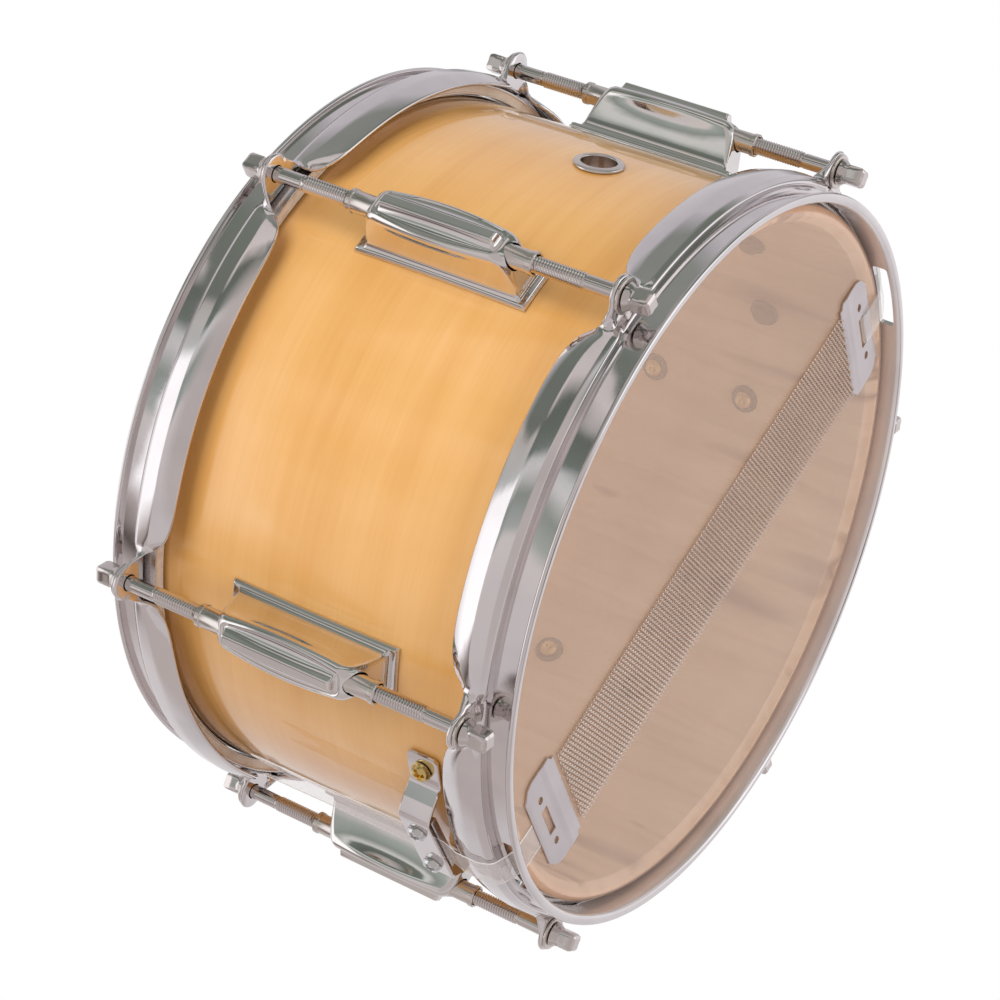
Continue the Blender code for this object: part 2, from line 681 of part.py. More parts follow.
def build_strainer(mats, root):
    """The strainer: base with rails, carriage, clamp, knob with its screw, and lever."""
    line = empty("strainer_frame", rotation=(0, 0, math.radians(SNARE_AZIMUTH + 180)),
                 parent=root)
    base = box("strainer_base", (126.4, -14.2, -44), (129.4, 14.2, 18), mats["chrome_cast"], line)
    pivot_n, pivot_z = LEVER_PIVOT
    for sign in (-1, 1):
        inner, outer = sorted((sign * 11.2, sign * 14.2))
        rail = box(f"rail_{sign}", (129.0, inner, -42), (139.4, outer, 4.5), parent=line)
        ear = box(f"pivot_ear_{sign}", (129.0, inner, 4.0), (143.0, outer, 14.5), parent=line)
        join(base, rail, ear)
    cut(base, cylinder("pivot_hole", 2.4, 40, (pivot_n, 0, pivot_z), "Y", 10, parent=line))
    carriage = box("strainer_carriage", (129.8, -10.8, -18), (141.0, 10.8, -5),
                   mats["chrome_cast"], line)
    cut(carriage, cylinder("screw_way", 2.5, 30, (KNOB_AXIS, 0, -11), "Z", 10, parent=line))
    clamp = box("strainer_clamp", (129.8, -10.8, -46), (141.0, 10.8, -26),
                mats["chrome_cast"], line)
    cut(clamp, cylinder("screw_socket", 2.5, 22, (KNOB_AXIS, 0, -26), "Z", 10, parent=line))
    cut(clamp, box("strap_slit", (133.6, -8.0, -50), (134.7, 8.0, -39.5), parent=line))
    knob_axis = empty("knob_axis", (KNOB_AXIS, 0, -11), parent=line)
    knob = [(0, 14.4), (5.6, 14.4), (7.0, 13.2), (7.0, 7.6), (5.6, 6.4), (2.0, 6.4),
            (2.0, -24.5), (0, -24.5)]
    turned("strainer_knob", knob, False, 12, mats["steel"], parent=knob_axis)
    hinge = empty("lever_hinge", (pivot_n, 0, pivot_z), parent=line)
    lever = cylinder("strainer_lever", 4.2, 21.4, (0, 0, 0), "Y", 12, mats["chrome_cast"], hinge)
    join(lever, cylinder("lever_pin", 2.0, 27.2, (0, 0, 0), "Y", 10, parent=hinge))
    arm = [(2.3, 0, 0), (2.3, 0, 20.2), (4.2, 0, 34.7)]
    join(lever, strip("lever_arm", arm, (0, 7.0, 0), 3.0, parent=hinge))


def main():
    global parts, cutters
    clear_scene()
    parts = make_collection("snare_drum")
    cutters = make_collection("cutters")
    mats = {
        "maple": material("maple_lacquer", (0.79, 0.45, 0.15), 0.18, 0.0),
        "chrome": material("chrome", (0.78, 0.77, 0.77), 0.08, 1.0),
        "chrome_cast": material("chrome_cast", (0.76, 0.76, 0.75), 0.12, 1.0),
        "nickel": material("nickel", (0.72, 0.70, 0.66), 0.2, 1.0),
        "steel": material("plated_steel", (0.66, 0.64, 0.62), 0.25, 1.0),
        "steel_plate": material("end_plate_steel", (0.68, 0.67, 0.68), 0.3, 1.0),
        "wire": material("snare_wire", (0.74, 0.72, 0.70), 0.22, 1.0),
        "aluminium": material("flesh_hoop_aluminium", (0.70, 0.69, 0.68), 0.32, 1.0),
        "film_batter": material("film_coated_white", (0.90, 0.89, 0.86), 0.5, 0.0),
        "film_snare": material("film_hazy_clear", (0.80, 0.66, 0.55), 0.35, 0.0),
        "plastic": material("strap_clear_plastic", (0.86, 0.83, 0.80), 0.25, 0.0),
        "brass": material("brass_screw", (0.78, 0.62, 0.24), 0.25, 1.0),
        "screw_chrome": material("screw_chrome", (0.74, 0.73, 0.72), 0.15, 1.0),
    }
    root = empty("drum_centre", (0, 0, RIM_HALF_HEIGHT))
    build_shell(mats, root)
    build_vent(mats, root)
    build_heads(mats, root)
    build_hoops(mats, root)
    build_tension(mats, root)
    build_snares(mats, root)
    build_butt(mats, root)
    build_strainer(mats, root)


main()
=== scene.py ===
import json
import math

import bmesh
import bpy
import numpy as np
from mathutils import Matrix, Vector


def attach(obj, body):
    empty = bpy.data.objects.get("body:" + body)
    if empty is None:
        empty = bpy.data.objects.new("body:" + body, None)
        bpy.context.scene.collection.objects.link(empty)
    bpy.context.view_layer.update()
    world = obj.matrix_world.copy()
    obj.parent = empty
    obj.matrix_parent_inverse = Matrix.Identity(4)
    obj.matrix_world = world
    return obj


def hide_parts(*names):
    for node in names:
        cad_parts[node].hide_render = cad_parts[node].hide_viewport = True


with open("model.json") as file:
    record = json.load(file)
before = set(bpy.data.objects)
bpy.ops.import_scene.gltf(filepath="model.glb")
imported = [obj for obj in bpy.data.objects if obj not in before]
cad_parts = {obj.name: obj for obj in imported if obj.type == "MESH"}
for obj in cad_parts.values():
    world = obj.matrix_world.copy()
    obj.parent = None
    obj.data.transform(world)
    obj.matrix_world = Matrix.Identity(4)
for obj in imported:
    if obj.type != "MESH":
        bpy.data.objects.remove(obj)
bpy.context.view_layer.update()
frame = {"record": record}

# The drum's own measures, in millimetres. Heights are counted from the shell's mid-plane,
# which stands MID above the rim that the drum rests on.
MM = 0.001
MID = 79.0
SHELL_OUTER = 126.0
SHELL_INNER = 119.5
SHELL_TOP = 73.0
FILM_TOP = SHELL_TOP + 0.6
ROD_CIRCLE = 140.0
SECTOR = 60.0
STATIONS = range(6)
SNARE_AZIMUTH = 150.0
STRAINER_AZIMUTH = -30.0
VENT_AZIMUTH = -88.5
VENT_Z = -11.0
BRACKET_Z = -42.5
EAR_TOP = 66.3
LUG_SCREW_Z = 20.3
FLANGE_HALF_WIDTH = 8.75
FLANGE_HALF_LENGTH = 32.5
STRAP_HALF_WIDTH = 7.25
FOOT_Z = -27
FOOT_TURN = 9.6
GATE_HALF_WIDTH, GATE_LOW, GATE_HIGH = 16.0, 70.95, 76.6
EAR_REACH = 6.0
STRAP_RADIUS = 134.15
KNOB_RADIUS = 137.0
PIVOT_RADIUS, PIVOT_Z = 138.5, 9.5
WIRE_COILS = 20
ROUND = 192

# Edges that turn by more degrees than this are shaded crisp.
SHARP = 34.0

BODY_OF = {node: body for body, nodes in frame["record"]["behaviour"]["bodies"].items()
           for node in nodes}

# From the drum's own centre to the row frame, and a turn that points Z away from the axis.
TO_ROW = Matrix.Translation((0, 0, MID * MM))
OUTWARD = Matrix.Rotation(math.pi / 2, 4, "Y")


def station(azimuth, offset=(0, 0, 0), flip=False):
    """From a station's axes (x away from the drum's axis, z along it) to the row frame."""
    matrix = TO_ROW @ Matrix.Rotation(math.radians(azimuth), 4, "Z")
    matrix = matrix @ Matrix.Translation(Vector(offset) * MM)
    return matrix @ Matrix.Rotation(math.pi, 4, "X") if flip else matrix


# ---------------------------------------------------------------- meshes

def piece(name, verts, faces, mat, matrix=TO_ROW, sharp=SHARP):
    """A smooth-shaded mesh from vertices in millimetres."""
    mesh = bpy.data.meshes.new(name)
    mesh.from_pydata([tuple(v) for v in (np.asarray(verts, float) * MM)], [], faces)
    bm = bmesh.new()
    bm.from_mesh(mesh)
    bmesh.ops.recalc_face_normals(bm, faces=bm.faces)
    bm.to_mesh(mesh)
    bm.free()
    obj = bpy.data.objects.new(name, mesh)
    bpy.context.scene.collection.objects.link(obj)
    obj.matrix_world = matrix
    shade(obj, sharp)
    if mat:
        mesh.materials.append(mat)
    return obj


def shade(obj, sharp):
    obj.data.shade_smooth()
    obj.data.set_sharp_from_angle(angle=math.radians(sharp))


def stand_for(obj, node):
    """The piece takes the place of a CAD node, on that node's body."""
    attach(obj, BODY_OF[node])
    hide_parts(node)
    return obj


def ride_along(obj, node):
    """A small piece that belongs with a CAD node and moves with it."""
    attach(obj, BODY_OF[node])
    return obj


def grid_faces(rows, columns, wrap_rows, wrap_columns=True):
    faces = []
    for i in range(rows if wrap_rows else rows - 1):
        for j in range(columns if wrap_columns else columns - 1):
            k = (j + 1) % columns
            n = (i + 1) % rows
            faces.append((i * columns + j, i * columns + k, n * columns + k, n * columns + j))
    return faces


def skin(name, rings, mat, matrix=TO_ROW, wrap=False, sharp=SHARP):
    """A closed skin over equal rings: a torus if wrapped, or capped at its two ends."""
    rings = np.asarray(rings, float)
    rows, columns = rings.shape[:2]
    faces = grid_faces(rows, columns, wrap)
    if not wrap:
        faces.append(tuple(range(columns))[::-1])
        faces.append(tuple((rows - 1) * columns + j for j in range(columns)))
    return piece(name, rings.reshape(-1, 3), faces, mat, matrix, sharp)


def lathe(name, outline, mat, matrix=TO_ROW, closed=True, steps=ROUND, sharp=SHARP):
    """An outline of (radius, height) points turned about Z. An open one is capped flat."""
    angles = np.linspace(0, 2 * math.pi, steps, endpoint=False)
    pts = np.asarray(outline, float)
    if closed:
        rings = [[(r * math.cos(a), r * math.sin(a), z) for r, z in pts] for a in angles]
        return skin(name, rings, mat, matrix, wrap=True, sharp=sharp)
    rings = [[(r * math.cos(a), r * math.sin(a), z) for a in angles] for r, z in pts]
    return skin(name, rings, mat, matrix, sharp=sharp)


def rounded(points, radii, closed=False, steps=4):
    """A 2D line with its corners turned into arcs of the given radii."""
    count = len(points)
    if np.isscalar(radii):
        radii = [radii] * count
    out = []
    for i, point in enumerate(points):
        p = Vector(point)
        if not closed and i in (0, count - 1):
            out.append(tuple(p))
            continue
        before = Vector(points[i - 1]) - p
        after = Vector(points[(i + 1) % count]) - p
        a, b = before.normalized(), after.normalized()
        turn = math.pi - a.angle(b, math.pi)
        if radii[i] == 0:
            out.append(tuple(p))
            continue
        reach = max(radii[i] * math.tan(turn / 2), 0.2)
        reach = min(reach, 0.45 * before.length, 0.45 * after.length)
        for s in range(steps + 1):
            t = s / steps
            q = (p + a * reach) * (1 - t) ** 2 + p * 2 * t * (1 - t) + (p + b * reach) * t ** 2
            out.append(tuple(q))
    return out


def thicken(line, thickness, cap=3):
    """The closed outline of a sheet round its mid-line, with round edges."""
    pts = np.asarray(line, float)
    ahead = np.vstack([pts[1:] - pts[:-1], pts[-1:] - pts[-2:-1]])
    behind = np.vstack([pts[1:2] - pts[:1], pts[1:] - pts[:-1]])
    lengths = np.maximum(np.linalg.norm(ahead, axis=1, keepdims=True), 1e-9)
    d = ahead / lengths + behind / np.maximum(np.linalg.norm(behind, axis=1, keepdims=True), 1e-9)
    d /= np.maximum(np.linalg.norm(d, axis=1, keepdims=True), 1e-9)
    normal = np.stack([-d[:, 1], d[:, 0]], 1) * thickness / 2
    ends = []
    for at, way in ((-1, 1), (0, -1)):
        side = normal[at] * way
        forward = np.array([side[1], -side[0]])
        arc = np.linspace(0, math.pi, cap + 2)[1:-1]
        ends.append([pts[at] + side * math.cos(t) + forward * math.sin(t) for t in arc])
    return np.vstack([pts + normal, ends[0], (pts - normal)[::-1], ends[1]])


def evaluated(obj):
    """The piece with its modifiers made into its mesh."""
    bpy.context.view_layer.update()
    graph = bpy.context.evaluated_depsgraph_get()
    mesh = bpy.data.meshes.new_from_object(obj.evaluated_get(graph))
    obj.modifiers.clear()
    obj.data = mesh
    return obj


def carve(obj, cutters, operation="DIFFERENCE", sharp=SHARP, folded=False):
    """Cuts or joins closed meshes, then removes them. A folded one may touch itself."""
    for cutter in cutters:
        mod = obj.modifiers.new("Cut", "BOOLEAN")
        mod.operation = operation
        mod.object = cutter
        mod.use_self = folded
    evaluated(obj)
    for cutter in cutters:
        bpy.data.objects.remove(cutter, do_unlink=True)
    shade(obj, sharp)
    return obj


def soften(obj, width, segments):
    """Rounds a piece's crisp edges."""
    mod = obj.modifiers.new("Round", "BEVEL")
    mod.width = width * MM
    mod.segments = segments
    mod.limit_method = "ANGLE"
    mod.angle_limit = math.radians(28)
    mod.harden_normals = False
    evaluated(obj)
    shade(obj, SHARP)
    return obj


def block(name, low, high, mat, matrix=TO_ROW):
    """A box between two corners."""
    x0, y0, z0 = low
    x1, y1, z1 = high
    rings = [[(x0, y0, z), (x1, y0, z), (x1, y1, z), (x0, y1, z)] for z in (z0, z1)]
    return skin(name, rings, mat, matrix)


def rod_cutter(radius, start, end, matrix=TO_ROW, sides=48):
    """A round bar between two points, for cutting holes."""
    start, end = Vector(start), Vector(end)
    turn = (end - start).to_track_quat("Z", "Y")
    rings = []
    for at in (start, end):
        ring = []
        for i in range(sides):
            a = 2 * math.pi * (i + 0.5) / sides
            ring.append(at + turn @ Vector((radius * math.cos(a), radius * math.sin(a), 0)))
        rings.append(ring)
    return skin("cutter", rings, None, matrix)


def strip(name, line, half_width, thickness, mat, matrix, across="Y", border=None):
    """A flat band along a line in its own XZ (or XY) plane, with rounded long edges, which
    may have a material of their own."""
    rings = []
    inset = 0.5 if border else thickness * 0.28
    for width, share in ((-half_width, 0.45), (inset - half_width, 1.0),
                         (half_width - inset, 1.0), (half_width, 0.45)):
        shape = thicken(line, thickness * share)
        rings.append([(x, width, z) if across == "Y" else (x, z, width) for x, z in shape])
    band = skin(name, rings, mat, matrix)
    if border:
        band.data.materials.append(border)
        for face in band.data.polygons:
            face.material_index = int(abs(face.center[1]) > (half_width - inset) * MM)
    return band


# ---------------------------------------------------------------- materials

def shader(name, colour, roughness, metallic=0.0):
    mat = bpy.data.materials.new(name)
    mat.use_nodes = True
    bsdf = mat.node_tree.nodes["Principled BSDF"]
    bsdf.inputs["Base Color"].default_value = (*colour, 1.0)
    bsdf.inputs["Roughness"].default_value = roughness
    bsdf.inputs["Metallic"].default_value = metallic
    return mat, mat.node_tree.nodes, mat.node_tree.links, bsdf


def coordinates(nodes, links, scale=(1, 1, 1)):
    """Object coordinates in metres, stretched."""
    source = nodes.new("ShaderNodeTexCoord")
    mapping = nodes.new("ShaderNodeMapping")
    mapping.inputs["Scale"].default_value = scale
    links.new(source.outputs["Object"], mapping.inputs["Vector"])
    return mapping.outputs["Vector"]


def noise(nodes, links, vector, scale, detail=3.0, rough=0.5, distortion=0.0):
    node = nodes.new("ShaderNodeTexNoise")
    node.inputs["Scale"].default_value = scale
    node.inputs["Detail"].default_value = detail
    node.inputs["Roughness"].default_value = rough
    node.inputs["Distortion"].default_value = distortion
    links.new(vector, node.inputs["Vector"])
    return node.outputs["Fac"]


def spread(nodes, links, value, low, high, from_low=0.0, from_high=1.0):
    node = nodes.new("ShaderNodeMapRange")
    node.inputs["From Min"].default_value = from_low
    node.inputs["From Max"].default_value = from_high
    node.inputs["To Min"].default_value = low
    node.inputs["To Max"].default_value = high
    links.new(value, node.inputs["Value"])
    return node.outputs["Result"]


def ramp(nodes, links, value, stops):
    node = nodes.new("ShaderNodeValToRGB")
    elements = node.color_ramp.elements
    while len(elements) < len(stops):
        elements.new(0.5)
    for element, (at, colour) in zip(elements, stops):
        element.position = at
        element.color = (*colour, 1.0)
    links.new(value, node.inputs["Fac"])
    return node.outputs["Color"]


def mixed(nodes, links, factor, a, b):
    """Mixes two colours. A colour is a socket or an RGB tuple, a factor a socket or number."""
    node = nodes.new("ShaderNodeMix")
    node.data_type = "RGBA"
    for socket, value in ((node.inputs[0], factor), (node.inputs[6], a), (node.inputs[7], b)):
        if isinstance(value, bpy.types.NodeSocket):
            links.new(value, socket)
        elif isinstance(value, tuple):
            socket.default_value = (*value, 1.0)
        else:
            socket.default_value = value
    return node.outputs[2]


def bump(nodes, links, bsdf, height, strength, distance, normal=None):
    node = nodes.new("ShaderNodeBump")
    node.inputs["Strength"].default_value = strength
    node.inputs["Distance"].default_value = distance * MM
    links.new(height, node.inputs["Height"])
    if normal is not None:
        links.new(normal, node.inputs["Normal"])
    links.new(node.outputs["Normal"], bsdf.inputs["Normal"])
    return node.outputs["Normal"]


def metal(name, colour, low, high, wave=0.06, grain=1400.0, tint=0.04, stretch=(1, 1, 1)):
    """Plated metal: slightly wavy, with fine handling marks in its gloss."""
    mat, nodes, links, bsdf = shader(name, colour, low, 1.0)
    place = coordinates(nodes, links, stretch)
    marks = noise(nodes, links, place, grain, 4.0, 0.6)
    clouds = noise(nodes, links, place, 45.0, 3.0)
    links.new(spread(nodes, links, marks, low, high, 0.35, 0.75), bsdf.inputs["Roughness"])
    dark = tuple(c * (1 - 2 * tint) for c in colour)
    warm = (min(colour[0] * 1.02, 1), colour[1], colour[2] * (1 - tint))
    links.new(ramp(nodes, links, clouds, [(0.3, dark), (0.55, colour), (0.8, warm)]),
              bsdf.inputs["Base Color"])
    soft = bump(nodes, links, bsdf, noise(nodes, links, place, 70.0, 1.0), wave, 1.2)
    bump(nodes, links, bsdf, marks, 0.01, 0.03, soft)
    return mat


def lacquer():
    """Honey-amber lacquer over veneer whose faint grain runs round the shell."""
    mat, nodes, links, bsdf = shader("maple_lacquer", (0.8, 0.45, 0.15), 0.3)
    bsdf.inputs["Coat Weight"].default_value = 1.0
    bsdf.inputs["Coat Roughness"].default_value = 0.035
    bsdf.inputs["Coat IOR"].default_value = 1.55
    bsdf.inputs["Specular IOR Level"].default_value = 0.3
    round_grain = noise(nodes, links, coordinates(nodes, links, (5, 5, 55)), 1.0, 3.0, 0.55, 0.3)
    fine = noise(nodes, links, coordinates(nodes, links, (30, 30, 900)), 1.0, 3.0, 0.6)
    figure = noise(nodes, links, coordinates(nodes, links, (38, 38, 9)), 1.0, 2.0, 0.5, 0.6)
    cloud = noise(nodes, links, coordinates(nodes, links, (9, 9, 12)), 1.0, 2.0)
    base = ramp(nodes, links, round_grain, [(0.25, (0.75, 0.37, 0.10)), (0.5, (0.82, 0.445, 0.145)),
                                            (0.78, (0.88, 0.51, 0.20))])
    base = mixed(nodes, links, spread(nodes, links, figure, 0.0, 0.38, 0.45, 0.8), base,
                 (0.76, 0.35, 0.075))
    base = mixed(nodes, links, spread(nodes, links, fine, 0.0, 0.2, 0.4, 0.8), base,
                 (0.64, 0.30, 0.07))
    base = mixed(nodes, links, spread(nodes, links, cloud, 0.0, 0.35, 0.5, 0.85), base,
                 (0.90, 0.53, 0.20))
    links.new(base, bsdf.inputs["Base Color"])
    links.new(spread(nodes, links, fine, 0.24, 0.4), bsdf.inputs["Roughness"])
    bump(nodes, links, bsdf, figure, 0.04, 0.4)
    return mat


def bare_wood():
    """The unlacquered inside of the shell, with a few dark seams between its plies' strips."""
    mat, nodes, links, bsdf = shader("bare_maple", (0.66, 0.48, 0.33), 0.62)
    grain = noise(nodes, links, coordinates(nodes, links, (95, 95, 7)), 1.0, 4.0, 0.6, 0.5)
    streak = noise(nodes, links, coordinates(nodes, links, (34, 34, 5)), 1.0, 2.0, 0.5)
    knot = noise(nodes, links, coordinates(nodes, links, (60, 60, 26)), 1.0, 1.0)
    base = ramp(nodes, links, grain, [(0.2, (0.66, 0.46, 0.32)), (0.5, (0.82, 0.63, 0.47)),
                                      (0.8, (0.90, 0.74, 0.57))])
    seam = ramp(nodes, links, streak, [(0.60, (0, 0, 0)), (0.66, (0.85, 0.85, 0.85)),
                                       (0.70, (0, 0, 0))])
    base = mixed(nodes, links, seam, base, (0.20, 0.11, 0.08))
    dark = ramp(nodes, links, knot, [(0.70, (0, 0, 0)), (0.76, (0.8, 0.8, 0.8))])
    links.new(mixed(nodes, links, dark, base, (0.22, 0.10, 0.09)), bsdf.inputs["Base Color"])
    links.new(spread(nodes, links, grain, 0.5, 0.75), bsdf.inputs["Roughness"])
    bump(nodes, links, bsdf, grain, 0.25, 0.2)
    return mat


def clear_film(name, colour, alpha, roughness):
    """Hazy clear polyester, glossy on its face."""
    mat, nodes, links, bsdf = shader(name, colour, roughness)
    bsdf.inputs["Alpha"].default_value = alpha
    bsdf.inputs["Coat Weight"].default_value = 0.6
    bsdf.inputs["Coat Roughness"].default_value = 0.08
    haze = noise(nodes, links, coordinates(nodes, links), 14.0, 3.0, 0.5)
    fine = noise(nodes, links, coordinates(nodes, links), 900.0, 2.0)
    pale = tuple(min(c * 1.05, 1) for c in colour)
    deep = tuple(c * 0.95 for c in colour)
    links.new(ramp(nodes, links, haze, [(0.3, deep), (0.7, pale)]), bsdf.inputs["Base Color"])
    links.new(spread(nodes, links, fine, roughness * 0.96, roughness * 1.06),
              bsdf.inputs["Roughness"])
    bump(nodes, links, bsdf, haze, 0.02, 0.6)
    return mat


def coated_film():
    """The batter head's sprayed white coating."""
    mat, nodes, links, bsdf = shader("coated_film", (0.86, 0.85, 0.82), 0.5)
    spray = noise(nodes, links, coordinates(nodes, links), 1800.0, 3.0, 0.7)
    cloud = noise(nodes, links, coordinates(nodes, links), 16.0, 3.0)
    links.new(ramp(nodes, links, cloud, [(0.3, (0.82, 0.81, 0.78)), (0.7, (0.89, 0.88, 0.86))]),
              bsdf.inputs["Base Color"])
    links.new(spread(nodes, links, spray, 0.42, 0.62), bsdf.inputs["Roughness"])
    bump(nodes, links, bsdf, spray, 0.25, 0.05)
    return mat


def resin():
    """The cream resin that sets the film into its flesh hoop."""
    mat, nodes, links, bsdf = shader("flesh_hoop_resin", (0.78, 0.62, 0.48), 0.5)
    mottle = noise(nodes, links, coordinates(nodes, links), 90.0, 4.0, 0.6)
    links.new(ramp(nodes, links, mottle, [(0.3, (0.62, 0.44, 0.32)), (0.5, (0.80, 0.66, 0.53)),
                                          (0.75, (0.86, 0.76, 0.66))]), bsdf.inputs["Base Color"])
    links.new(spread(nodes, links, mottle, 0.4, 0.6), bsdf.inputs["Roughness"])
    bump(nodes, links, bsdf, mottle, 0.2, 0.3)
    return mat


MATERIALS = {
    "maple": lacquer(),
    "bare": bare_wood(),
    "chrome": metal("hoop_chrome", (0.78, 0.74, 0.74), 0.05, 0.13, wave=0.08),
    "rim_inner": metal("hoop_chrome_inside", (0.80, 0.76, 0.76), 0.14, 0.22, wave=0.08),
    "lug": metal("lug_chrome", (0.78, 0.75, 0.73), 0.04, 0.10, wave=0.05),
    "nickel": metal("satin_nickel", (0.72, 0.66, 0.62), 0.20, 0.26, wave=0.02),
    "rod": metal("rod_plating", (0.68, 0.63, 0.61), 0.10, 0.18, wave=0.02),
    "plate": metal("plate_steel", (0.66, 0.61, 0.62), 0.30, 0.38, wave=0.03, grain=2600.0),
    "wire": metal("wire_chrome", (0.90, 0.80, 0.73), 0.12, 0.20, wave=0.0),
    "aluminium": metal("hoop_aluminium", (0.66, 0.64, 0.63), 0.22, 0.38, stretch=(1, 1, 12)),
    "brass": metal("brass_screw", (0.84, 0.64, 0.26), 0.14, 0.28, tint=0.12),
    "screw": metal("screw_chrome", (0.70, 0.69, 0.69), 0.08, 0.2),
    "zinc": metal("inner_screw_zinc", (0.80, 0.62, 0.30), 0.2, 0.35, tint=0.12),
    "dark": metal("inner_screw_dark", (0.13, 0.14, 0.13), 0.3, 0.45, tint=0.12),
    "film_snare": clear_film("film_hazy", (0.90, 0.64, 0.48), 0.27, 0.2),
    "film_batter": coated_film(),
    "strap": clear_film("strap_clear", (0.84, 0.79, 0.76), 0.26, 0.22),
    "strap_edge": clear_film("strap_rim", (0.95, 0.93, 0.91), 0.8, 0.3),
    "resin": resin(),
}
MATERIALS["rim_inner"].node_tree.nodes["Principled BSDF"].inputs["Metallic"].default_value = 0.5


# ---------------------------------------------------------------- shell, heads and hoops

def build_shell():
    edge_out, edge_in = 123.8, 122.4
    half = [(SHELL_INNER, 0), (SHELL_INNER, SHELL_TOP - 3.0), (edge_in, SHELL_TOP),
            (edge_out, SHELL_TOP), (SHELL_OUTER - 0.05, SHELL_TOP - 2.0), (SHELL_OUTER, 0)]
    upper = rounded(half, [0, 0.8, 0.6, 0.6, 0.8, 0], steps=3)
    lower = [(r, -z) for r, z in upper[::-1]][1:-1]
    shell = lathe("shell_wood", upper + lower, MATERIALS["maple"], steps=256)
    shell.data.materials.append(MATERIALS["bare"])
    for face in shell.data.polygons:
        x, y, _ = face.center
        face.material_index = int(math.hypot(x, y) < (SHELL_OUTER - 1.2) * MM)
    a = math.radians(VENT_AZIMUTH)
    way = Vector((math.cos(a), math.sin(a), 0))
    lift = Vector((0, 0, VENT_Z))
    carve(shell, [rod_cutter(7.1, way * 110 + lift, way * 135 + lift)])
    stand_for(shell, "shell")

    seat = SHELL_OUTER + 0.2
    inside = SHELL_INNER - 0.75
    outline = [(6.5, seat + 1.3), (8.5, seat + 0.9), (8.75, seat), (6.7, seat), (6.7, inside),
               (7.9, inside), (7.9, inside - 0.7), (6.1, inside - 0.7), (6.1, seat + 0.9)]
    outline = rounded(outline, [0.9, 0.8, 0.1, 0.1, 0.1, 0.1, 0.3, 0.4, 0.6], closed=True)
    turn = station(VENT_AZIMUTH, (0, 0, VENT_Z)) @ OUTWARD
    grommet = lathe("vent_ring", outline, MATERIALS["nickel"], turn, steps=64)
    stand_for(grommet, "vent_grommet")


def build_heads():
    top = FILM_TOP
    under = top - 0.25
    line_out = [(124.2, top), (126.45, 71.6), (126.6, 63.0)]
    line_in = [(126.35, 63.0), (126.2, 71.4), (124.1, under)]
    outer = rounded([(60.0, top)] + line_out, [0, 2.2, 2.0, 0], steps=6)
    inner = rounded(line_in + [(60.0, under)], [0, 2.0, 2.2, 0], steps=6)
    outline = [(0.5, top), *outer, *inner, (0.5, under)]
    ring = [(127.0, 67.1), (131.2, 67.1), (131.2, 61.4), (130.5, 61.4), (130.4, 62.0),
            (127.8, 62.0), (127.7, 61.4), (127.0, 61.4)]
    ring = rounded(ring, [0.5, 0.7, 0.25, 0.15, 0.1, 0.1, 0.15, 0.25], closed=True, steps=3)
    for side, flip in (("batter", False), ("snare", True)):
        matrix = station(0, flip=flip)
        film = lathe(f"film_{side}", outline, MATERIALS[f"film_{side}"], matrix, closed=False)
        stand_for(film, f"head_{side}")
        hoop = lathe(f"flesh_ring_{side}", ring, MATERIALS["aluminium"], matrix)
        hoop.data.materials.append(MATERIALS["resin"])
        for face in hoop.data.polygons:
            x, y, z = face.center
            if z < 62.3 * MM and 127.3 * MM < math.hypot(x, y) < 130.75 * MM:
                face.material_index = 1
        stand_for(hoop, f"flesh_hoop_{side}")


def smoothstep(x):
    x = min(max(x, 0.0), 1.0)
    return x * x * (3 - 2 * x)


def mix(a, b, w):
    return a + (b - a) * w


def hoop_section(away):
    """The pressed hoop's outline, as far as `away` degrees from an ear: lip, wall, shoulder,
    then a flat tab at the ear or a bulging skirt that hangs between two ears."""
    bend = smoothstep((away - 2.3) / 2.5)
    along = ROD_CIRCLE * math.sin(math.radians(away))
    reach = math.sqrt(max(EAR_REACH ** 2 - along ** 2, 0.0))
    tab_end = ROD_CIRCLE + max(reach, -2.5 * smoothstep((away - 2.5) / 2.0))
    edge = 54.9 + 7.4 * math.exp(-(max(away, 4.0) - 4.0) / 2.2)
    tab_z = EAR_TOP - 0.8
    corners = [
        (131.3, 78.2),
        (129.2, 78.2),
        (129.2, mix(69.3, 68.0, bend)),
        (mix(131.9, 131.3, bend), mix(68.3, 67.95, bend)),
        (mix(132.6, 132.7, bend), mix(mix(68.3, tab_z, 0.5), 68.75, bend)),
        (mix(133.4, 133.75, bend), mix(tab_z, 67.0, bend)),
        (mix(mix(133.4, tab_end, 0.5), 134.15, bend), mix(tab_z, mix(66.2, edge, 0.42), bend)),
        (mix(tab_end, 132.7, bend), mix(tab_z, edge, bend)),
    ]
    return rounded(corners, [0, 1.1, 0.9, 1.2, 1.3, 1.6, 8.0, 0], steps=5)


